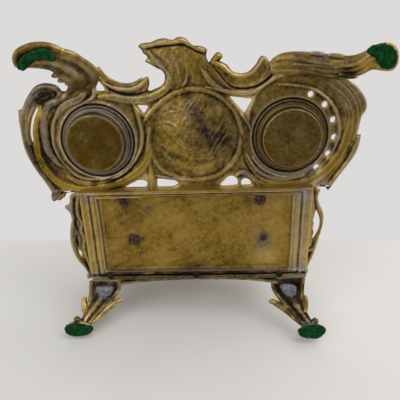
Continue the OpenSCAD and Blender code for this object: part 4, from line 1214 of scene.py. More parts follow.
RIGHT_RAIL_BANDS = [
    (2.4, 4, 0, [(109, 6, .6), (109.5, -1), (111.5, -8), (114.5, -14), (115.8, -22), (115.6, -30),
        (113.8, -40), (111.5, -51), (108.8, -61), (105.8, -70, .9), (104.5, -79, .7)]),
    (2.4, 4.2, 0, [(104.5, 4, .7), (105.5, -6, .9), (106, -14), (105.2, -21, .8), (106.2, -28),
        (105, -35, .8), (106.4, -42), (105.5, -50, .9)]),
    (1.8, 4, 0, [(103, -55.5, .8), (106.5, -54.5), (109, -53.5, .6)]),
    (-1.2, 2.4, 0, [(107.5, -57, .5), (105.5, -62), (103.5, -67, .5)])]
RAIL_LOW = 41.0
RAIL_TOP = 44.2
RAIL_SEAM = 43
RAILS = {
    "left_side_rail": (LEFT_RAIL, LEFT_RAIL_HOLES, LEFT_RAIL_BANDS, [
        (-118, -8, 9, .9), (-119, -35, 14, .7), (-112, -78, 9, 1.0), (-106, -40, 6, -.3)]),
    "right_side_rail": (RIGHT_RAIL, RIGHT_RAIL_HOLES, RIGHT_RAIL_BANDS, [
        (113, -4, 8, .5), (110, -50, 10, .3), (106, -80, 7, 1.1), (105, -25, 10, -.4)])}


def build_rail(name, outline, holes, bands, greys):
    """A carved plate that thins towards its seam at every edge."""
    gaps = [smooth_loop(h, 0.7) for h in holes]

    def lower(p, gap):
        full = RAIL_LOW - bands_height(p, bands)[0] * 0.9 - 0.15 * mottle(p, 6, 21)
        return RAIL_SEAM - (RAIL_SEAM - full) * rounded(gap, 2.4, 0.15)

    def upper(p, gap):
        full = RAIL_TOP + bands_height(p, bands)[0] * 0.9 + 0.15 * mottle(p, 6, 22)
        return RAIL_SEAM + (full - RAIL_SEAM) * rounded(gap, 2.4, 0.15)

    shell = sheet(smooth_loop(outline, 0.8), gaps, 0.9, lower, upper, soft_holes=gaps)
    tone = blobs(tray_mm(shell[0]), greys)
    return piece(name + "_carved", shell, "stand", "tarnished_brass", "tarnished",
                 (name,), tone, scale=0.8, soil=-0.1)


class INKSTAND_OT_side_rails(Operator):
    """Make the two carved side rails"""
    bl_idname = "inkstand.side_rails"
    bl_label = "Side rails"

    def execute(self, context):
        for name, looks in RAILS.items():
            build_rail(name, *looks)
        return {"FINISHED"}


# Back legs, apron and solder

LEFT_BACK_LEG = [
    (-103.8, -79.5, 33, -76, -79.5, 33, 4), (-104, -86, 31.5, -77, -88, 31.5, 4),
    (-104.6, -93, 28, -83, -94.5, 28, 5), (-107, -99.5, 21, -88.5, -100.5, 21, 6.5),
    (-109.5, -105, 14, -94.5, -105.5, 14, 7), (-112, -109.5, 9, -99.5, -110.5, 9, 7),
    (-115, -113, 6.5, -102.5, -114, 6.5, 5)]
RIGHT_BACK_LEG = [
    (100, -79.5, 33, 72, -79.5, 33, 4), (99, -86, 31.5, 71, -89, 31.5, 4),
    (98.4, -93, 27.5, 76, -96, 27.5, 5), (99.6, -100, 20.5, 82.5, -103, 20.5, 6.5),
    (102, -107, 14, 88.5, -109, 14, 7), (106, -112.5, 9, 94.5, -114.5, 9, 7),
    (110.5, -117, 6.5, 98, -118.5, 6.5, 5)]
BACK_LEAVES = {
    "left": [
        [(-104, -80, 31, 3, 5), (-104.4, -88, 29.5, 3.4, 6), (-105.2, -96, 25, 3.4, 6),
         (-106.5, -103, 17.5, 3, 5)],
        [(-107.5, -107, 14, 3, 5), (-109.5, -101.5, 18, 4.5, 6), (-110.8, -96.5, 22.5, 4.5, 6),
         (-110, -93.8, 25.5, 2.5, 4)],
        [(-77, -81, 32, 2.4, 4), (-78, -89, 30, 3, 5), (-83, -95, 26, 3.2, 5.5),
         (-89, -101, 18.5, 3, 5)],
        [(-100, -111, 9, 3, 4), (-93.5, -106.5, 13.5, 4, 6), (-86, -101.5, 19, 4.6, 6),
         (-79, -98.3, 23.5, 4.4, 6), (-75.5, -96.8, 26, 2.4, 4)],
        [(-106.5, -110.5, 7.5, 2.4, 4), (-103, -104, 13.5, 2.8, 5), (-99, -98.5, 20, 2, 4)],
        [(-112, -111, 8, 4.5, 5), (-115, -108, 9.5, 5, 6), (-116.8, -106.5, 11, 3, 4)]],
    "right": [
        [(100, -80, 31, 3, 5), (98.8, -88, 29.5, 3.4, 6), (98.6, -96, 25, 3.4, 6),
         (99.6, -103, 17.5, 3, 5)],
        [(99.5, -106, 14, 3, 5), (100.6, -101.5, 18, 4, 5), (101.2, -97, 22.5, 3.6, 5),
         (100.6, -95, 25, 2.5, 3)],
        [(71, -81, 32, 2.4, 4), (72, -90, 30, 3, 5), (77, -97, 25.5, 3.2, 5.5),
         (83.5, -103.5, 18, 3, 5)],
        [(97.5, -117, 9, 3, 4), (91, -112.5, 13.5, 4, 6), (83.5, -107.5, 19, 4.8, 6),
         (76, -103.8, 23, 4.8, 6), (70.5, -101.6, 25.5, 4, 5), (68.6, -103.4, 25.5, 3, 3)],
        [(101, -114.5, 8, 2.4, 4), (97, -108, 13.5, 2.8, 5), (92.5, -102.5, 20, 2, 4)],
        [(105.5, -115.5, 8, 5, 5), (108.4, -113, 10, 5.4, 6), (110, -111.6, 11.5, 3, 4)]]}
FEET = {"left": (-111, -112, 23, 12, 8), "right": (104, -118, 22, 12, -8)}
SOLDER = {
    "left": [(-100, -85.5), (-92, -84.6), (-83, -86), (-83.4, -91), (-88, -96), (-93.5, -101),
             (-97, -99.5), (-99, -92.5)],
    "right": [(78, -86.5), (86, -85), (93.5, -87.5), (94, -94), (93, -101.5), (89.4, -102.5),
              (84, -97.5), (79.5, -92)]}


def turned_toe(x, v, long, wide, turn, z0, z1):
    """A rounded toe plate under a back leg."""
    sides = 48
    angle = np.radians(np.linspace(0, 360, sides + 1)[:-1])
    c, s = math.cos(math.radians(turn)), math.sin(math.radians(turn))
    rings = []
    for share, z in ((0.8, z0), (0.95, z0 + 0.6), (1, z0 + 1.6), (0.97, (z0 + z1) / 2), (0.85, z1 - 0.8),
                     (0.6, z1)):
        a = share * long / 2 * np.cos(angle)
        b = share * wide / 2 * np.sin(angle)
        rings.append(np.column_stack([x + a * c - b * s, v - a * s - b * c, np.full(sides, z)]))
    return rings_shell(np.array(rings))


def build_back_leg(side):
    """A fluted blade with leaf edges on a rounded toe."""
    stations = LEFT_BACK_LEG if side == "left" else RIGHT_BACK_LEG
    x, v, long, wide, turn = FEET[side]
    shells = [blade(stations, 2, 0.3, seed=11, lean=0.3), turned_toe(x, v, long, wide, turn, 2.6, 8)]
    shells += [sweep([(*q[:3], 1.25 * q[3], q[4]) for q in path], 20, step=1.2)
               for path in BACK_LEAVES[side]]
    verts, faces = joined(shells)
    where = tray_mm(verts)
    mid = -92 if side == "left" else 86
    toe = np.clip((9 - where[:, 2]) / 1.5, 0, 1)
    # the right toe's rim is tinted to pale crust as a painted highlight; the left one is only a little
    # greyer
    greys = blobs(where, [(mid, -92, 8, .7), (mid, -84, 8, .5)]) + toe * (0.3 if side == "left" else 1.5)
    curl = -114 if side == "left" else 108
    soil = 0.12 * mottle(where, 7, 76) + blobs(where, [(mid, -90, 9, .1), (curl, v + 5, 5, .5)])
    soil += 0.16 if side == "right" else 0
    return piece(side + "_back_leg_leafy", (verts, faces), "stand", "tarnished_brass",
                 "leaf", (side + "_back_leg",), greys, scale=0.7, soil=soil)


def build_solder():
    """Rough lumps of lead that fill the hollows of the two back legs."""
    def slope(p):
        return (p[:, 1] + 84) * 0.42

    def lower(p, gap):
        lumps = 3.6 * rounded(gap, 5, 0.05)
        return 31.8 + slope(p) - lumps - 0.5 * mottle(p, 3, 31) - 0.5 * mottle(p, 1.6, 32)

    def upper(p, gap):
        return 33.2 + slope(p)

    shells = [sheet(smooth_loop(outline, 0.7, 5), [], 0.7, lower, upper)
              for outline in SOLDER.values()]
    return piece("leg_solder_lumps", joined(shells), "stand", "lead_solder", "solder",
                 ("leg_solder",), scale=0.4)


def build_apron():
    """The thin arch under the platform's back edge."""
    xs = np.linspace(-75, 75, 101)
    rows = np.linspace(0, 1, 13)

    def place(points):
        x, share = points[:, 0], points[:, 1]
        s = np.abs(x / 75)
        low = 34 - 9 * s ** 3
        z = 40 + (low - 40) * share
        return to_part(np.column_stack([x, points[:, 2], z]))

    def bead(p):
        return 0.5 * bell(p[:, 1], 0.93, 0.06) + 0.06 * mottle(p * [1, 30], 9, 41)

    shell = plate(xs, rows, lambda p: -79.2 - 0.3 * bead(p), lambda p: -81.5 - bead(p), place)
    where = tray_mm(shell[0])
    return piece("apron_arch", shell, "stand", "tarnished_brass", "tarnished", ("apron",),
                 blobs(where, [(-70, -80, 14, .4), (70, -80, 14, .6), (0, -80, 30, .2)]), scale=0.5,
                 soil=0.35 + 0.2 * mottle(where, 14, 77))


class INKSTAND_OT_back_legs(Operator):
    """Make the two leafy back legs, the solder in them and the arched apron"""
    bl_idname = "inkstand.back_legs"
    bl_label = "Back legs"

    def execute(self, context):
        for side in WELLS:
            build_back_leg(side)
        build_solder()
        build_apron()
        return {"FINISHED"}


# Felt soles, each crowned and pulled in towards its edge

FELTS = {
    "left_front": [(-121.5, 118.5), (-120, 123), (-116, 126.6), (-110.5, 129.2), (-104.5, 131),
                   (-98.5, 131), (-94.5, 128), (-92.6, 124), (-96, 122.4), (-100.5, 124),
                   (-105, 124.2), (-109.5, 122.4), (-113.5, 119), (-117.5, 116.8)],
    "right_front": [(123.5, 122.8), (126.5, 125.6), (131.4, 126.8), (137.6, 126.2), (142, 123.6),
                    (144.4, 119.5), (144.8, 115), (143, 111.2), (139, 109.8), (134.8, 111.2),
                    (131.4, 114.5), (129.4, 118), (125.8, 119.6)],
    "left_back": [(-125, -111), (-124.6, -116.5), (-119.4, -120.2), (-111.8, -120.6),
                  (-103, -118.5), (-98.2, -113), (-99.5, -109), (-106, -107.2), (-114, -106.2),
                  (-121, -107)],
    "right_back": [(91, -116), (92.4, -121.5), (97, -124.8), (104.6, -125.9), (110.9, -125.4),
                   (115.6, -120), (116, -114.5), (111, -110.6), (103.3, -110.4), (96, -112.2)]}


def build_felt(name, outline):
    """A pad that is crowned below and follows its foot above."""
    edge = smooth_loop(outline, 0.8)
    edge = edge + 0.3 * np.column_stack([mottle(edge, 3, 51), mottle(edge, 3, 52)])
    back = name.endswith("back")

    def lower(p, gap):
        return 2.4 - 2.4 * rounded(gap, 1.6, 0.35) + 0.3 * (mottle(p, 2.4, 53) + 0.9)

    def upper(p, gap):
        lift = 3.0 * rounded(gap, 2.2, 0.5) if back else 2.6 * rounded(gap, 1.6, 0.6)
        return lift + 0.12 * mottle(p, 2.5, 54)

    shell = sheet(edge, [], 0.8, lower, upper)
    shell[0][:, 2] = np.maximum(shell[0][:, 2], 0)
    obj = piece(name + "_felt_sole", shell, "stand", "green_felt", "felt",
                (name + "_felt",), scale=0.4)
    return obj


class INKSTAND_OT_felts(Operator):
    """Make the four green felt soles"""
    bl_idname = "inkstand.felts"
    bl_label = "Felt soles"

    def execute(self, context):
        for name, outline in FELTS.items():
            build_felt(name, outline)
        return {"FINISHED"}


# Pots with their glass liners and hinge pins

POT_PROFILE = [
    (0, 27.2), (12, 27.15), (21.4, 27.1), (21.8, 27.2), (22.2, 27.1), (23.2, 27.2), (23.8, 27.7),
    (24, 28.5), (24, 30.2), (24.3, 31.6), (25, 32.8), (26, 33.8), (27.1, 34.4), (27.9, 34.5),
    (28.3, 34.9), (28.4, 36.4), (28.8, 37.1), (29.7, 37.3), (30.4, 38), (30.5, 43), (33.4, 43.02),
    (33.9, 43.5), (34, 44.4), (33.6, 45.2), (32.6, 45.5), (31.6, 45.6), (31.5, 46.4), (31.9, 48),
    (32.3, 50), (32.5, 53), (32.2, 57), (31.4, 61), (30.2, 65), (29, 68), (28.1, 69.6), (28, 70.4),
    (28.6, 70.8), (29.3, 71.1), (29.5, 71.8), (29.4, 72.6), (28.8, 73), (25.4, 73), (25, 72.6),
    (25, 34.6), (21, 29.6), (0, 29.5)]
LINER_PROFILE = [
    (0, 34.5), (22.8, 34.5), (23.7, 34.9), (24, 36), (24, 69), (23.6, 69.8), (22.6, 70), (21.4, 69.8),
    (21, 69), (21, 40), (20.2, 38.8), (0, 38.5)]
HINGE_V = -32.8
HINGE_Z = 74.8
KNUCKLE_R = 3.0
LID_KNUCKLE = 4
POT_KNUCKLE = (4.4, 8.4)
PIN_R = 1.2


def dense(profile, step=1.2):
    """The same profile with more points along its long stretches."""
    p = np.asarray(profile, float)
    rows = [p[0]]
    for a, b in zip(p, p[1:]):
        n = max(int(np.linalg.norm(b - a) / step), 1)
        rows += [a + (b - a) * k / n for k in range(1, n + 1)]
    return np.array(rows)


def build_pot(side):
    """A lobed pot on a stepped foot, with the two outer knuckles of its hinge."""
    x = WELLS[side]
    shells = [lathe(dense(POT_PROFILE, 0.7), x, WELL_V, 144, sizes().pot_lobes, 0.9, 46.5, 68.5)]
    for s in (-1, 1):
        inner, outer = sorted(x + s * end for end in POT_KNUCKLE)
        shells.append(across_rod(inner, outer, WELL_V + HINGE_V, HINGE_Z, KNUCKLE_R))
        shells.append(block(inner, outer, WELL_V - 31.8, WELL_V - 27.6, 68, 72.9))
    verts, faces = joined(shells)
    where = tray_mm(verts)
    tone = blobs(where, [(x - 6, WELL_V + 9, 10, .15)])
    wall = away(where, x, WELL_V)
    low = (where[:, 2] < 43) & (wall > 23.2)
    ring = bell(wall, 29.3, 0.9)
    tone = tone + np.where(low, (0.8 if side == "left" else 0.2) + 0.6 * ring, 0)
    lines = np.where(low & (wall < 29), 0.28 * np.sin(3.6 * wall) - 0.1, 0)
    disc = wall < 22
    lines = lines + disc * (0.05 * mottle(where[:, :2], 16, 83) + 0.025 * mottle(where[:, :2], 4, 84))
    lines = lines + (np.where(disc, -0.06, 0.12 * low) if side == "right" else 0.03 * disc)
    return piece(side + "_pot_turned", (verts, faces), side + "_well", "gilt_brass",
                 "pot", (side + "_pot",), tone, angle=35, scale=0.8,
                 calm=np.where(low | (where[:, 2] > 43), 0.6, 0.3), soil=lines)


def build_liner(side):
    x = WELLS[side]
    return piece(side + "_liner_glass", lathe(dense(LINER_PROFILE, 3), x, WELL_V, 96), side + "_well",
                 "liner_glass", "glass", (side + "_liner",), angle=40)


def build_pin(side):
    x = WELLS[side]
    reach = POT_KNUCKLE[1]
    shell = across_rod(x - reach, x + reach, WELL_V + HINGE_V, HINGE_Z, PIN_R, 0.3)
    return piece(side + "_hinge_pin_domed", shell, side + "_well", "dark_steel", "steel",
                 (side + "_hinge_pin",))


class INKSTAND_OT_pots(Operator):
    """Make the two turned pots, their glass liners and their hinge pins"""
    bl_idname = "inkstand.pots"
    bl_label = "Pots and liners"

    def execute(self, context):
        for side in WELLS:
            build_pot(side)
            build_liner(side)
            build_pin(side)
        return {"FINISHED"}


# Lids and finials

LID_R = 29.5
LID_WALL = 2
LID_BALL = 36.5
LID_APEX = 91.3


def lid_profile():
    """A cap of a hollow ball on a turned rim."""
    cap, hollow = math.asin(LID_R / LID_BALL), LID_BALL - LID_WALL
    outer = [(LID_BALL * math.sin(a), LID_APEX - LID_BALL * (1 - math.cos(a)))
             for a in np.linspace(0, cap, 34)]
    inner = [(hollow * math.sin(a), LID_APEX - LID_BALL + hollow * math.cos(a))
             for a in np.linspace(cap, 0, 16)]
    rim = [(LID_R, 75.9), (LID_R, 75), (29.3, 73.8), (28.8, 73.3), (27.8, 73.3), (27.5, 73.8)]
    return outer + rim + inner


def build_lid(side):
    """A lobed dome with the middle knuckle of its hinge."""
    x = WELLS[side]
    dome = lathe(lid_profile(), x, WELL_V, 168)
    where = tray_mm(dome[0])
    r = away(where, x, WELL_V)
    turn = np.arctan2(where[:, 1] - WELL_V, where[:, 0] - x)
    from_ball = where - [x, WELL_V, LID_APEX - LID_BALL]
    ball = np.linalg.norm(from_ball, axis=1)
    fade = np.clip((r - 8.5) / 4, 0, 1) * np.clip((26 - r) / 2.5, 0, 1)
    lobes = np.abs(np.sin(9 * (turn + 0.03 * r))) ** 0.7 - 1
    ring = 0.5 * bell(r, 7.2, 0.8) - 0.5 * bell(r, 27.2, 0.6)
    lift = np.where((ball > LID_BALL - 0.6) & (where[:, 2] > 76.2), 0.9 * lobes * fade + ring - 0.4, 0)
    out = from_ball / ball[:, None]
    verts = to_part(where + out * lift[:, None])
    start, end = x - LID_KNUCKLE, x + LID_KNUCKLE
    shells = [(verts, dome[1]), across_rod(start, end, WELL_V + HINGE_V, HINGE_Z, KNUCKLE_R),
              block(start, end, WELL_V + HINGE_V, WELL_V - 27.6, 74.9, 77.7)]
    shell = joined(shells)
    tone = blobs(tray_mm(shell[0]), [(x + 8, WELL_V + 10, 11, .3), (x - 12, WELL_V - 6, 9, .3)])
    return piece(side + "_lid_domed", shell, side + "_cover", "gilt_brass", "gilt",
                 (side + "_lid",), tone, angle=40, scale=0.55)


FINIAL_PROFILE = [
    (0, 88.4), (1.4, 88.4), (1.5, 91.32), (4.6, 91.32), (5, 91.7), (4.9, 92.2), (3.6, 92.7), (2.5, 93.3),
    (2.05, 94.3), (2.1, 95.4), (2.9, 96.2), (3.9, 97.2), (4.5, 98.4), (4.6, 99.6), (4.3, 101),
    (3.5, 102.3), (2.3, 103.4), (1.2, 104.1), (0, 104.3)]


def build_finial(side):
    x = WELLS[side]
    shell = lathe(dense(FINIAL_PROFILE, 0.5), x, WELL_V, 64, 8, 0.55, 95.8, 103.6)
    return piece(side + "_finial_bud", shell, side + "_cover", "gilt_brass", "gilt",
                 (side + "_finial",), angle=50, scale=0.25)


class INKSTAND_OT_lids(Operator):
    """Make the two domed lids with their lobes and bud finials"""
    bl_idname = "inkstand.lids"
    bl_label = "Lids and finials"

    def execute(self, context):
        for side in WELLS:
            build_lid(side)
            build_finial(side)
        return {"FINISHED"}


# Letter rack: three upright pierced panels

# Each panel is (middle, forward, half width, side height, crest height, its feet's places)
RACK = {
    "rack_front": (-3.0, 0.0, 68.0, 20.0, 36.0, (-64, 58)),
    "rack_middle": (1.5, -36.0, 72.0, 46.5, 62.0, (-58, 61)),
    "rack_back": (-3.5, -74.5, 88.0, 63.36, 88.0, (-84, -2, 77))}
LOW_PANEL = 30
RACK_FOOT = [
    (0, 43), (4.3, 43), (4.5, 43.6), (4.5, 46), (4.2, 46.6), (3.4, 47), (3.2, 48.4), (2.6, 49.3),
    (1.4, 49.9), (0, 50)]


def rack_outline(w, s, c):
    """The outline of a panel from its half width and the heights of its sides and crest."""
    half = [(w, .02 * s), (w * .995, .3 * s), (w, .55 * s), (.93 * w, .9 * s), (.75 * w, .95 * s),
            (.6 * w, .8 * s), (.4 * w, .9 * s), (.25 * w, s + (c - s) * .5), (.12 * w, .95 * c), (0, c)]
    top = spline(half + [(-x, z) for x, z in half[-2::-1]], 8)
    return evenly(np.vstack([top, [(-w, 0), (w, 0)]]), 0.9, True)


def rack_bands(w, s, c):
    """The carved bands of a panel: its foot line, frame, scrolls, fan and middle rib."""
    bands = [(1.3, 3.6, 0, [(-.97 * w, .045 * s + 1), (0, .045 * s + 1), (.97 * w, .045 * s + 1)])]
    for m in (-1, 1):
        bands.append((1.6, 4.2, 0, [
            (m * .965 * w, .06 * s, .8), (m * .965 * w, .3 * s), (m * .96 * w, .55 * s),
            (m * .9 * w, .83 * s), (m * .76 * w, .88 * s), (m * .6 * w, .74 * s),
            (m * .42 * w, .83 * s), (m * .28 * w, .92 * s + (c - s) * .3),
            (m * .14 * w, .88 * c), (0, .95 * c, .9)]))
        bands.append((1.5, 3.6, 0, [
            (m * .9 * w, .7 * s, .6), (m * .86 * w, .35 * s), (m * .76 * w, .13 * s),
            (m * .55 * w, .12 * s), (m * .43 * w, .25 * s, .7)]))
        bands.append((1.4, 3.4, 0, [
            (m * .47 * w, .75 * s, .6), (m * .52 * w, .5 * s), (m * .46 * w, .25 * s),
            (m * .3 * w, .13 * s), (m * .12 * w, .2 * s, .7)]))
        for k in range(3):
            bands.append((1.3, 3, 0, [
                (m * .03 * (k + 1) * w, .34 * s, .5), (m * .045 * (k + 1) * w, .6 * s),
                (m * .055 * (k + 1) * w, (.86 - .05 * k) * c, .8)]))
        bands.append((1.2, 2.6, 0, [
            (m * .68 * w, .66 * s, .5), (m * .78 * w, .6 * s), (m * .81 * w, .42 * s, .8)]))
    bands.append((1.6, 3.4, 0, [(0, .3 * s, .6), (0, .6 * s), (0, .9 * c, .8)]))
    return bands


def rack_holes(w, s):
    """Four round holes dented at the top, where a panel is tall enough for them."""
    holes = []
    if s > LOW_PANEL:
        for m in (-1, 1):
            for x, z, r in ((.3, .45, .14), (.62, .4, .12)):
                middle = np.array([m * w * x, s * z])
                rel = circle(*middle, w * r, 48) - middle
                turn = np.degrees(np.arctan2(rel[:, 1], rel[:, 0]))
                dent = 1 - 0.14 * bell(turn, 90, 26)
                holes.append(middle + rel * dent[:, None])
    return holes


def build_rack_panel(name):
    """A pierced and carved upright panel on turned feet."""
    mid, v, w, s, c, feet = RACK[name]
    outline = rack_outline(w, s, c)
    holes = rack_holes(w, s)
    bands = rack_bands(w, s, c)

    def front(p, gap):
        rim = 0.9 * bell(to_loops(p, holes), 1.6, 1.1) if holes else 0
        full = bands_height(p, bands)[0] * 0.75 + rim + 0.05 * mottle(p, 11, 61)
        return 0.1 + (full + 1.1) * rounded(gap, 1.4, 0.2)

    def rear(p, gap):
        return -(0.1 + (1.2 + 0.3 * bands_height(p, bands)[0] + 0.05 * mottle(p, 11, 62))
                 * rounded(gap, 1.4, 0.2))

    def place(q):
        return to_part(np.column_stack([mid + q[:, 0], v + q[:, 2], WEB_TOP + q[:, 1]]))

    shells = [sheet(outline, holes, 1.25, rear, front, place, holes)]
    shells += [lathe(RACK_FOOT, x, v, 32) for x in feet]
    verts, faces = joined(shells)
    where = tray_mm(verts)
    up = np.column_stack([where[:, 0], where[:, 2]])
    tone = blobs(up, [(mid - .6 * w, WEB_TOP + .3 * s, 14, .4),
                      (mid + .5 * w, WEB_TOP + .7 * s, 12, .4), (mid, WEB_TOP + .8 * c, 12, .3)])
    return piece(name + "_pierced", (verts, faces), "stand", "gilt_brass", "gilt", (name,),
                 tone, scale=0.45)


class INKSTAND_OT_rack(Operator):
    """Make the letter rack's three pierced panels"""
    bl_idname = "inkstand.rack"
    bl_label = "Letter rack"

    def execute(self, context):
        for name in RACK:
            build_rack_panel(name)
        return {"FINISHED"}


# Fasteners and beads, which Geometry Nodes repeat


class Grower(Nodes):
    """A Geometry Nodes tree with named inputs."""
    prefix = "GeometryNode"

    def __init__(self, name, numbers):
        self.tree = bpy.data.node_groups.new(name, "GeometryNodeTree")
        face = self.tree.interface
        face.new_socket("Points", in_out="INPUT", socket_type="NodeSocketGeometry")
        for label, value in numbers.items():
            kind = "NodeSocketInt" if isinstance(value, int) else "NodeSocketFloat"
            face.new_socket(label, in_out="INPUT", socket_type=kind).default_value = value
        face.new_socket("Finish", in_out="INPUT", socket_type="NodeSocketMaterial")
        face.new_socket("Geometry", in_out="OUTPUT", socket_type="NodeSocketGeometry")
        self.given = self.add("NodeGroupInput").outputs

    def end(self, instances):
        real = self.add("RealizeInstances", {"Geometry": instances}).outputs[0]
        dressed = self.add("SetMaterial", {"Geometry": real, "Material": self.given["Finish"]})
        self.add("NodeGroupOutput", {0: dressed.outputs[0]})
        return self

    def grow(self, name, points, values, finish, scales=None):
        """The plain mesh that the tree makes on these tray points."""
        base = bpy.data.meshes.new(name + "_points")
        base.from_pydata(to_part(points).tolist(), [], [])
        if scales:
            base.attributes.new("size", "FLOAT", "POINT").data.foreach_set("value", scales)
        obj = bpy.data.objects.new(name + "_grown", base)
        bpy.context.scene.collection.objects.link(obj)
        modifier = obj.modifiers.new("grow", "NODES")
        modifier.node_group = self.tree
        for item in self.tree.interface.items_tree:
            if item.in_out == "INPUT" and item.name in values:
                modifier[item.identifier] = values[item.name]
            if item.in_out == "INPUT" and item.name == "Finish":
                modifier[item.identifier] = finish_of(finish)
        ready = obj.evaluated_get(bpy.context.evaluated_depsgraph_get())
        mesh = bpy.data.meshes.new_from_object(ready)
        obj.modifiers.clear()
        bpy.data.objects.remove(obj)
        return mesh


def screw_tree():
    """Slotted and domed screw heads with shanks, one on each point, upside down."""
    g = Grower("screw_heads", {"Head radius": 0.0042, "Head height": 0.002, "Shank radius": 0.0017,
                               "Shank length": 0.010, "Slot width": 0.001})
    ball = g.add("MeshUVSphere", {"Segments": 40, "Rings": 20, "Radius": 1.0}).outputs[0]
    wide = g.add("ShaderNodeCombineXYZ", {"X": g.given["Head radius"], "Y": g.given["Head radius"],
                                          "Z": g.given["Head height"]}).outputs[0]
    dome = g.add("Transform", {"Geometry": ball, "Scale": wide}).outputs[0]
    slot = g.add("ShaderNodeCombineXYZ", {"X": 0.02, "Y": g.given["Slot width"], "Z": 0.0016}).outputs[0]
    bar = g.add("MeshCube", {"Size": slot}).outputs[0]
    bar = g.add("Transform", {"Geometry": bar, "Translation": (0, 0, -0.0019)}).outputs[0]
    head = g.add("MeshBoolean", {0: dome, 1: bar}, operation="DIFFERENCE").outputs[0]
    rod = g.add("MeshCylinder", {"Vertices": 20, "Radius": g.given["Shank radius"],
                                 "Depth": g.given["Shank length"]}).outputs[0]
    half = g.add("ShaderNodeMath", {0: g.given["Shank length"], 1: 0.5}, operation="MULTIPLY").outputs[0]
    lift = g.add("ShaderNodeCombineXYZ", {"Z": half}).outputs[0]
    rod = g.add("Transform", {"Geometry": rod, "Translation": lift}).outputs[0]
    screw = g.add("JoinGeometry", {"Geometry": [head, rod]}).outputs[0]
    size = g.add("InputNamedAttribute", {"Name": "size"}, data_type="FLOAT").outputs[0]
    return g.end(g.add("InstanceOnPoints", {"Points": g.given["Points"], "Instance": screw,
                                            "Scale": size}).outputs[0])


def bead_tree():
    """A ring of small beads round each point."""
    g = Grower("bead_rings", {"Beads": 60, "Ring radius": 0.034, "Bead radius": 0.0011})
    ring = g.add("CurvePrimitiveCircle", {"Resolution": g.given["Beads"],
                                          "Radius": g.given["Ring radius"]}).outputs[0]
    bead = g.add("MeshIcoSphere", {"Radius": g.given["Bead radius"], "Subdivisions": 2}).outputs[0]
    row = g.add("InstanceOnPoints", {"Points": ring, "Instance": bead}).outputs[0]
    return g.end(g.add("InstanceOnPoints", {"Points": g.given["Points"], "Instance": row}).outputs[0])


class INKSTAND_OT_fasteners(Operator):
    """Make the four slotted screws and the three rivets"""
    bl_idname = "inkstand.fasteners"
    bl_label = "Screws and rivets"

    def execute(self, context):
        screws = screw_tree()
        places = [(-64.8, 0, 36), (58, -0.4, 36), (-58.8, -37.2, 36), (61.6, -38.2, 36)]
        mesh = screws.grow("rack_screws", places, {"Head radius": sizes().screw_radius},
                           "steel", [0.98, 1.12, 1.14, 0.8])
        finished("rack_screws_slotted", mesh, "stand", "dark_steel", "steel",
                 ("rack_screws",), scale=0.3)
        rivets = [(-84, -74.5, 30.2), (-2, -74.5, 30.2), (77, -74.5, 30.2)]
        mesh = screws.grow("rack_rivets", rivets, {
            "Head radius": 0.003, "Head height": 0.0011, "Shank radius": 0.0019,
            "Shank length": 0.0175, "Slot width": 0.0}, "tarnished", [1.0, 1.0, 1.0])
        finished("rack_rivets_domed", mesh, "stand", "tarnished_brass", "tarnished",
                 ("rack_rivets",), scale=0.3, calm=0.4, soil=0.35)
        return {"FINISHED"}


class INKSTAND_OT_beads(Operator):
    """Make the beaded rings on the pots, the lids and the tray"""
    bl_idname = "inkstand.beads"
    bl_label = "Beads"

    def execute(self, context):
        rings = bead_tree()
        bead = sizes().bead_radius

        def trim(name, body, place, count, radius, size):
            mesh = rings.grow(name, [place], {"Beads": count, "Ring radius": radius,
                                              "Bead radius": size}, "gilt")
            finished(name + "_beads", mesh, body, "gilt_brass", "gilt")

        for side, x in WELLS.items():
            trim(side + "_pot", side + "_well", (x, WELL_V, 45.3), 84, 0.0327, bead * 0.8)
            trim(side + "_lid", side + "_cover", (x, WELL_V, 77.8), 76, 0.0272, bead * 0.9)
        trim("dish", "stand", (*DISH, 43.6), 88, 0.0378, bead)
        return {"FINISHED"}


# Stage


def camera_matrix():
    """The photograph's viewpoint: below the tray and towards the front."""
    tilt, turn, roll = math.radians(22), math.radians(-2), math.radians(1.2)
    level = Matrix.Rotation(tilt, 3, "X")
    level = Matrix.Rotation(turn, 3, "Y") @ level
    level = Matrix.Rotation(roll, 3, "Z") @ level
    flip = Matrix.Diagonal((1, -1, -1))
    turned = (level @ flip).transposed()
    centre = Vector((TRAY_X, TRAY_Y, WEB_LOW)) / 1000
    as_seen = Vector((-4, 0, -353)) / 1000
    place = centre - turned @ as_seen
    return Matrix.Translation(place) @ turned.to_4x4()


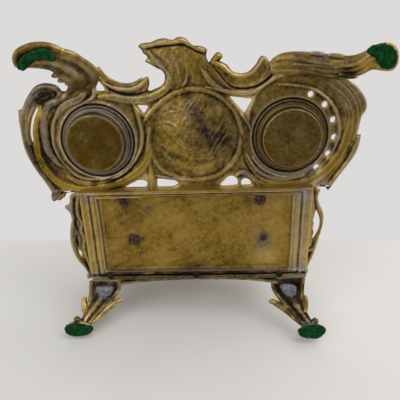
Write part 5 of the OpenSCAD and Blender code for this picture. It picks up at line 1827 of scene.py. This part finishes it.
class INKSTAND_OT_stage(Operator):
    """Set up the camera, the pale floors and the soft light"""
    bl_idname = "inkstand.stage"
    bl_label = "Stage"

    def execute(self, context):
        scene = context.scene
        scene.view_settings.view_transform = "Standard"
        lens = bpy.data.cameras.new("camera")
        lens.sensor_width = 36
        lens.lens = 35.28
        lens.clip_start = 0.01
        lens.clip_end = 20
        camera = bpy.data.objects.new("camera", lens)
        camera.matrix_world = camera_matrix()
        scene.collection.objects.link(camera)
        scene.camera = camera
        self.floors(scene, camera.matrix_world)
        self.lamps(scene, camera.matrix_world)
        self.sky(scene)
        return {"FINISHED"}

    def floors(self, scene, view):
        """The floor under the tipped-up stand, and the desk under its feet in use."""
        pitch = math.radians(27)
        up = Vector((0, math.cos(pitch), math.sin(pitch)))
        right = Vector((1, 0, 0))
        ahead = up.cross(right)
        foot = view.inverted() @ (Vector((TRAY_X, TRAY_Y + 127, 3)) / 1000)
        corners = [foot + right * x + ahead * y
                   for x, y in ((-0.9, -0.5), (0.9, -0.5), (0.9, 0.17), (-0.9, 0.17))]
        corners = [view @ c for c in corners]
        colour = tuple(colours().floor)
        self.plane(scene, "photo_floor", corners, floor_finish("photo_floor_cloth", colour),
                   view.to_3x3() @ up)
        desk = [Vector(c) for c in ((-1.5, -1.5, 0), (1.5, -1.5, 0), (1.5, 1.5, 0), (-1.5, 1.5, 0))]
        self.plane(scene, "desk_floor", desk, floor_finish("desk_floor_pale", colour, True),
                   Vector((0, 0, 1)))

    def plane(self, scene, name, corners, material, facing):
        normal = (corners[1] - corners[0]).cross(corners[2] - corners[0])
        order = (0, 1, 2, 3) if normal.dot(facing) > 0 else (3, 2, 1, 0)
        mesh = bpy.data.meshes.new(name)
        mesh.from_pydata([tuple(c) for c in corners], [], [order])
        mesh.materials.append(material)
        obj = bpy.data.objects.new(name, mesh)
        scene.collection.objects.link(obj)

    def lamps(self, scene, view):
        """Soft lamps, placed about the camera's view: (right, up, back) in metres."""
        target = Vector((0, 0, 0.04))
        for name, place, size, power, colour in (
                ("key_lamp", (0.55, 0.8, 0.0), 1.0, 6.5, (1.0, 0.98, 0.95)),
                ("fill_lamp", (-0.4, 0.12, 0.32), 0.6, 1.8, (0.97, 0.98, 1.0))):
            lamp = bpy.data.lights.new(name, "AREA")
            lamp.shape = "SQUARE"
            lamp.size = size
            lamp.energy = power
            lamp.color = colour
            obj = bpy.data.objects.new(name, lamp)
            spot = view @ Vector(place)
            aim = (target - spot).to_track_quat("-Z", "Y")
            obj.matrix_world = Matrix.Translation(spot) @ aim.to_matrix().to_4x4()
            scene.collection.objects.link(obj)

    def sky(self, scene):
        """A pale wall for the camera, gloss and glass, dim straight below, and a soft room's light."""
        world = bpy.data.worlds.new("studio")
        scene.world = world
        s = Shader(world)
        way = s.add("TexCoord").outputs["Generated"]

        def room(axis, stops, tint, strength):
            toward = s.add("VectorMath", {0: way, 1: axis}, operation="DOT_PRODUCT")
            half = s.math("MULTIPLY_ADD", toward.outputs["Value"], 0.5, 0.5)
            levels = [(at, tuple(level * c for c in tint)) for at, level in stops]
            glow = s.add("Background", {"Color": s.ramp(half, levels, "EASE"), "Strength": strength})
            return glow.outputs[0]

        light = room((0.3, -0.8, 0.35), ((0.0, 0.3), (0.45, 0.42), (0.75, 0.95), (1.0, 1.25)),
                     (1, 0.99, 0.97), 0.75)
        wall = room((0.0, 0.0, -1.0), ((0.0, 1.0), (0.62, 1.0), (0.86, 0.3), (1.0, 0.14)),
                    tuple(colours().wall), 1.0)
        path = s.add("LightPath").outputs
        seen = path["Is Camera Ray"]
        for kind in ("Is Glossy Ray", "Is Transmission Ray"):
            seen = s.math("MAXIMUM", seen, path[kind])
        s.finish(s.add("MixShader", {0: seen, 1: light, 2: wall}).outputs[0], "OutputWorld")


class INKSTAND_PT_panel(Panel):
    """Lists the steps that make the inkstand"""
    bl_label = "Desk Inkstand"
    bl_idname = "INKSTAND_PT_panel"
    bl_space_type = "VIEW_3D"
    bl_region_type = "UI"
    bl_category = "Inkstand"

    def draw(self, context):
        layout = self.layout
        for group in (context.scene.inkstand_sizes, context.scene.inkstand_colours):
            box = layout.box()
            for name in group.__annotations__:
                box.prop(group, name)
        for step in STEPS:
            layout.operator(step.bl_idname)


STEPS = (INKSTAND_OT_stage, INKSTAND_OT_casting, INKSTAND_OT_front_legs, INKSTAND_OT_platform,
         INKSTAND_OT_side_rails, INKSTAND_OT_back_legs, INKSTAND_OT_felts, INKSTAND_OT_pots,
         INKSTAND_OT_lids, INKSTAND_OT_rack, INKSTAND_OT_fasteners, INKSTAND_OT_beads)
CLASSES = (InkstandSizes, InkstandColours, *STEPS, INKSTAND_PT_panel)


def register():
    for item in CLASSES:
        bpy.utils.register_class(item)
    bpy.types.Scene.inkstand_sizes = PointerProperty(type=InkstandSizes)
    bpy.types.Scene.inkstand_colours = PointerProperty(type=InkstandColours)


def unregister():
    del bpy.types.Scene.inkstand_colours
    del bpy.types.Scene.inkstand_sizes
    for item in reversed(CLASSES):
        bpy.utils.unregister_class(item)


def main():
    register()
    for step in STEPS:
        group, name = step.bl_idname.split(".")
        getattr(getattr(bpy.ops, group), name)()
    bpy.context.view_layer.update()


if __name__ == "__main__":
    main()
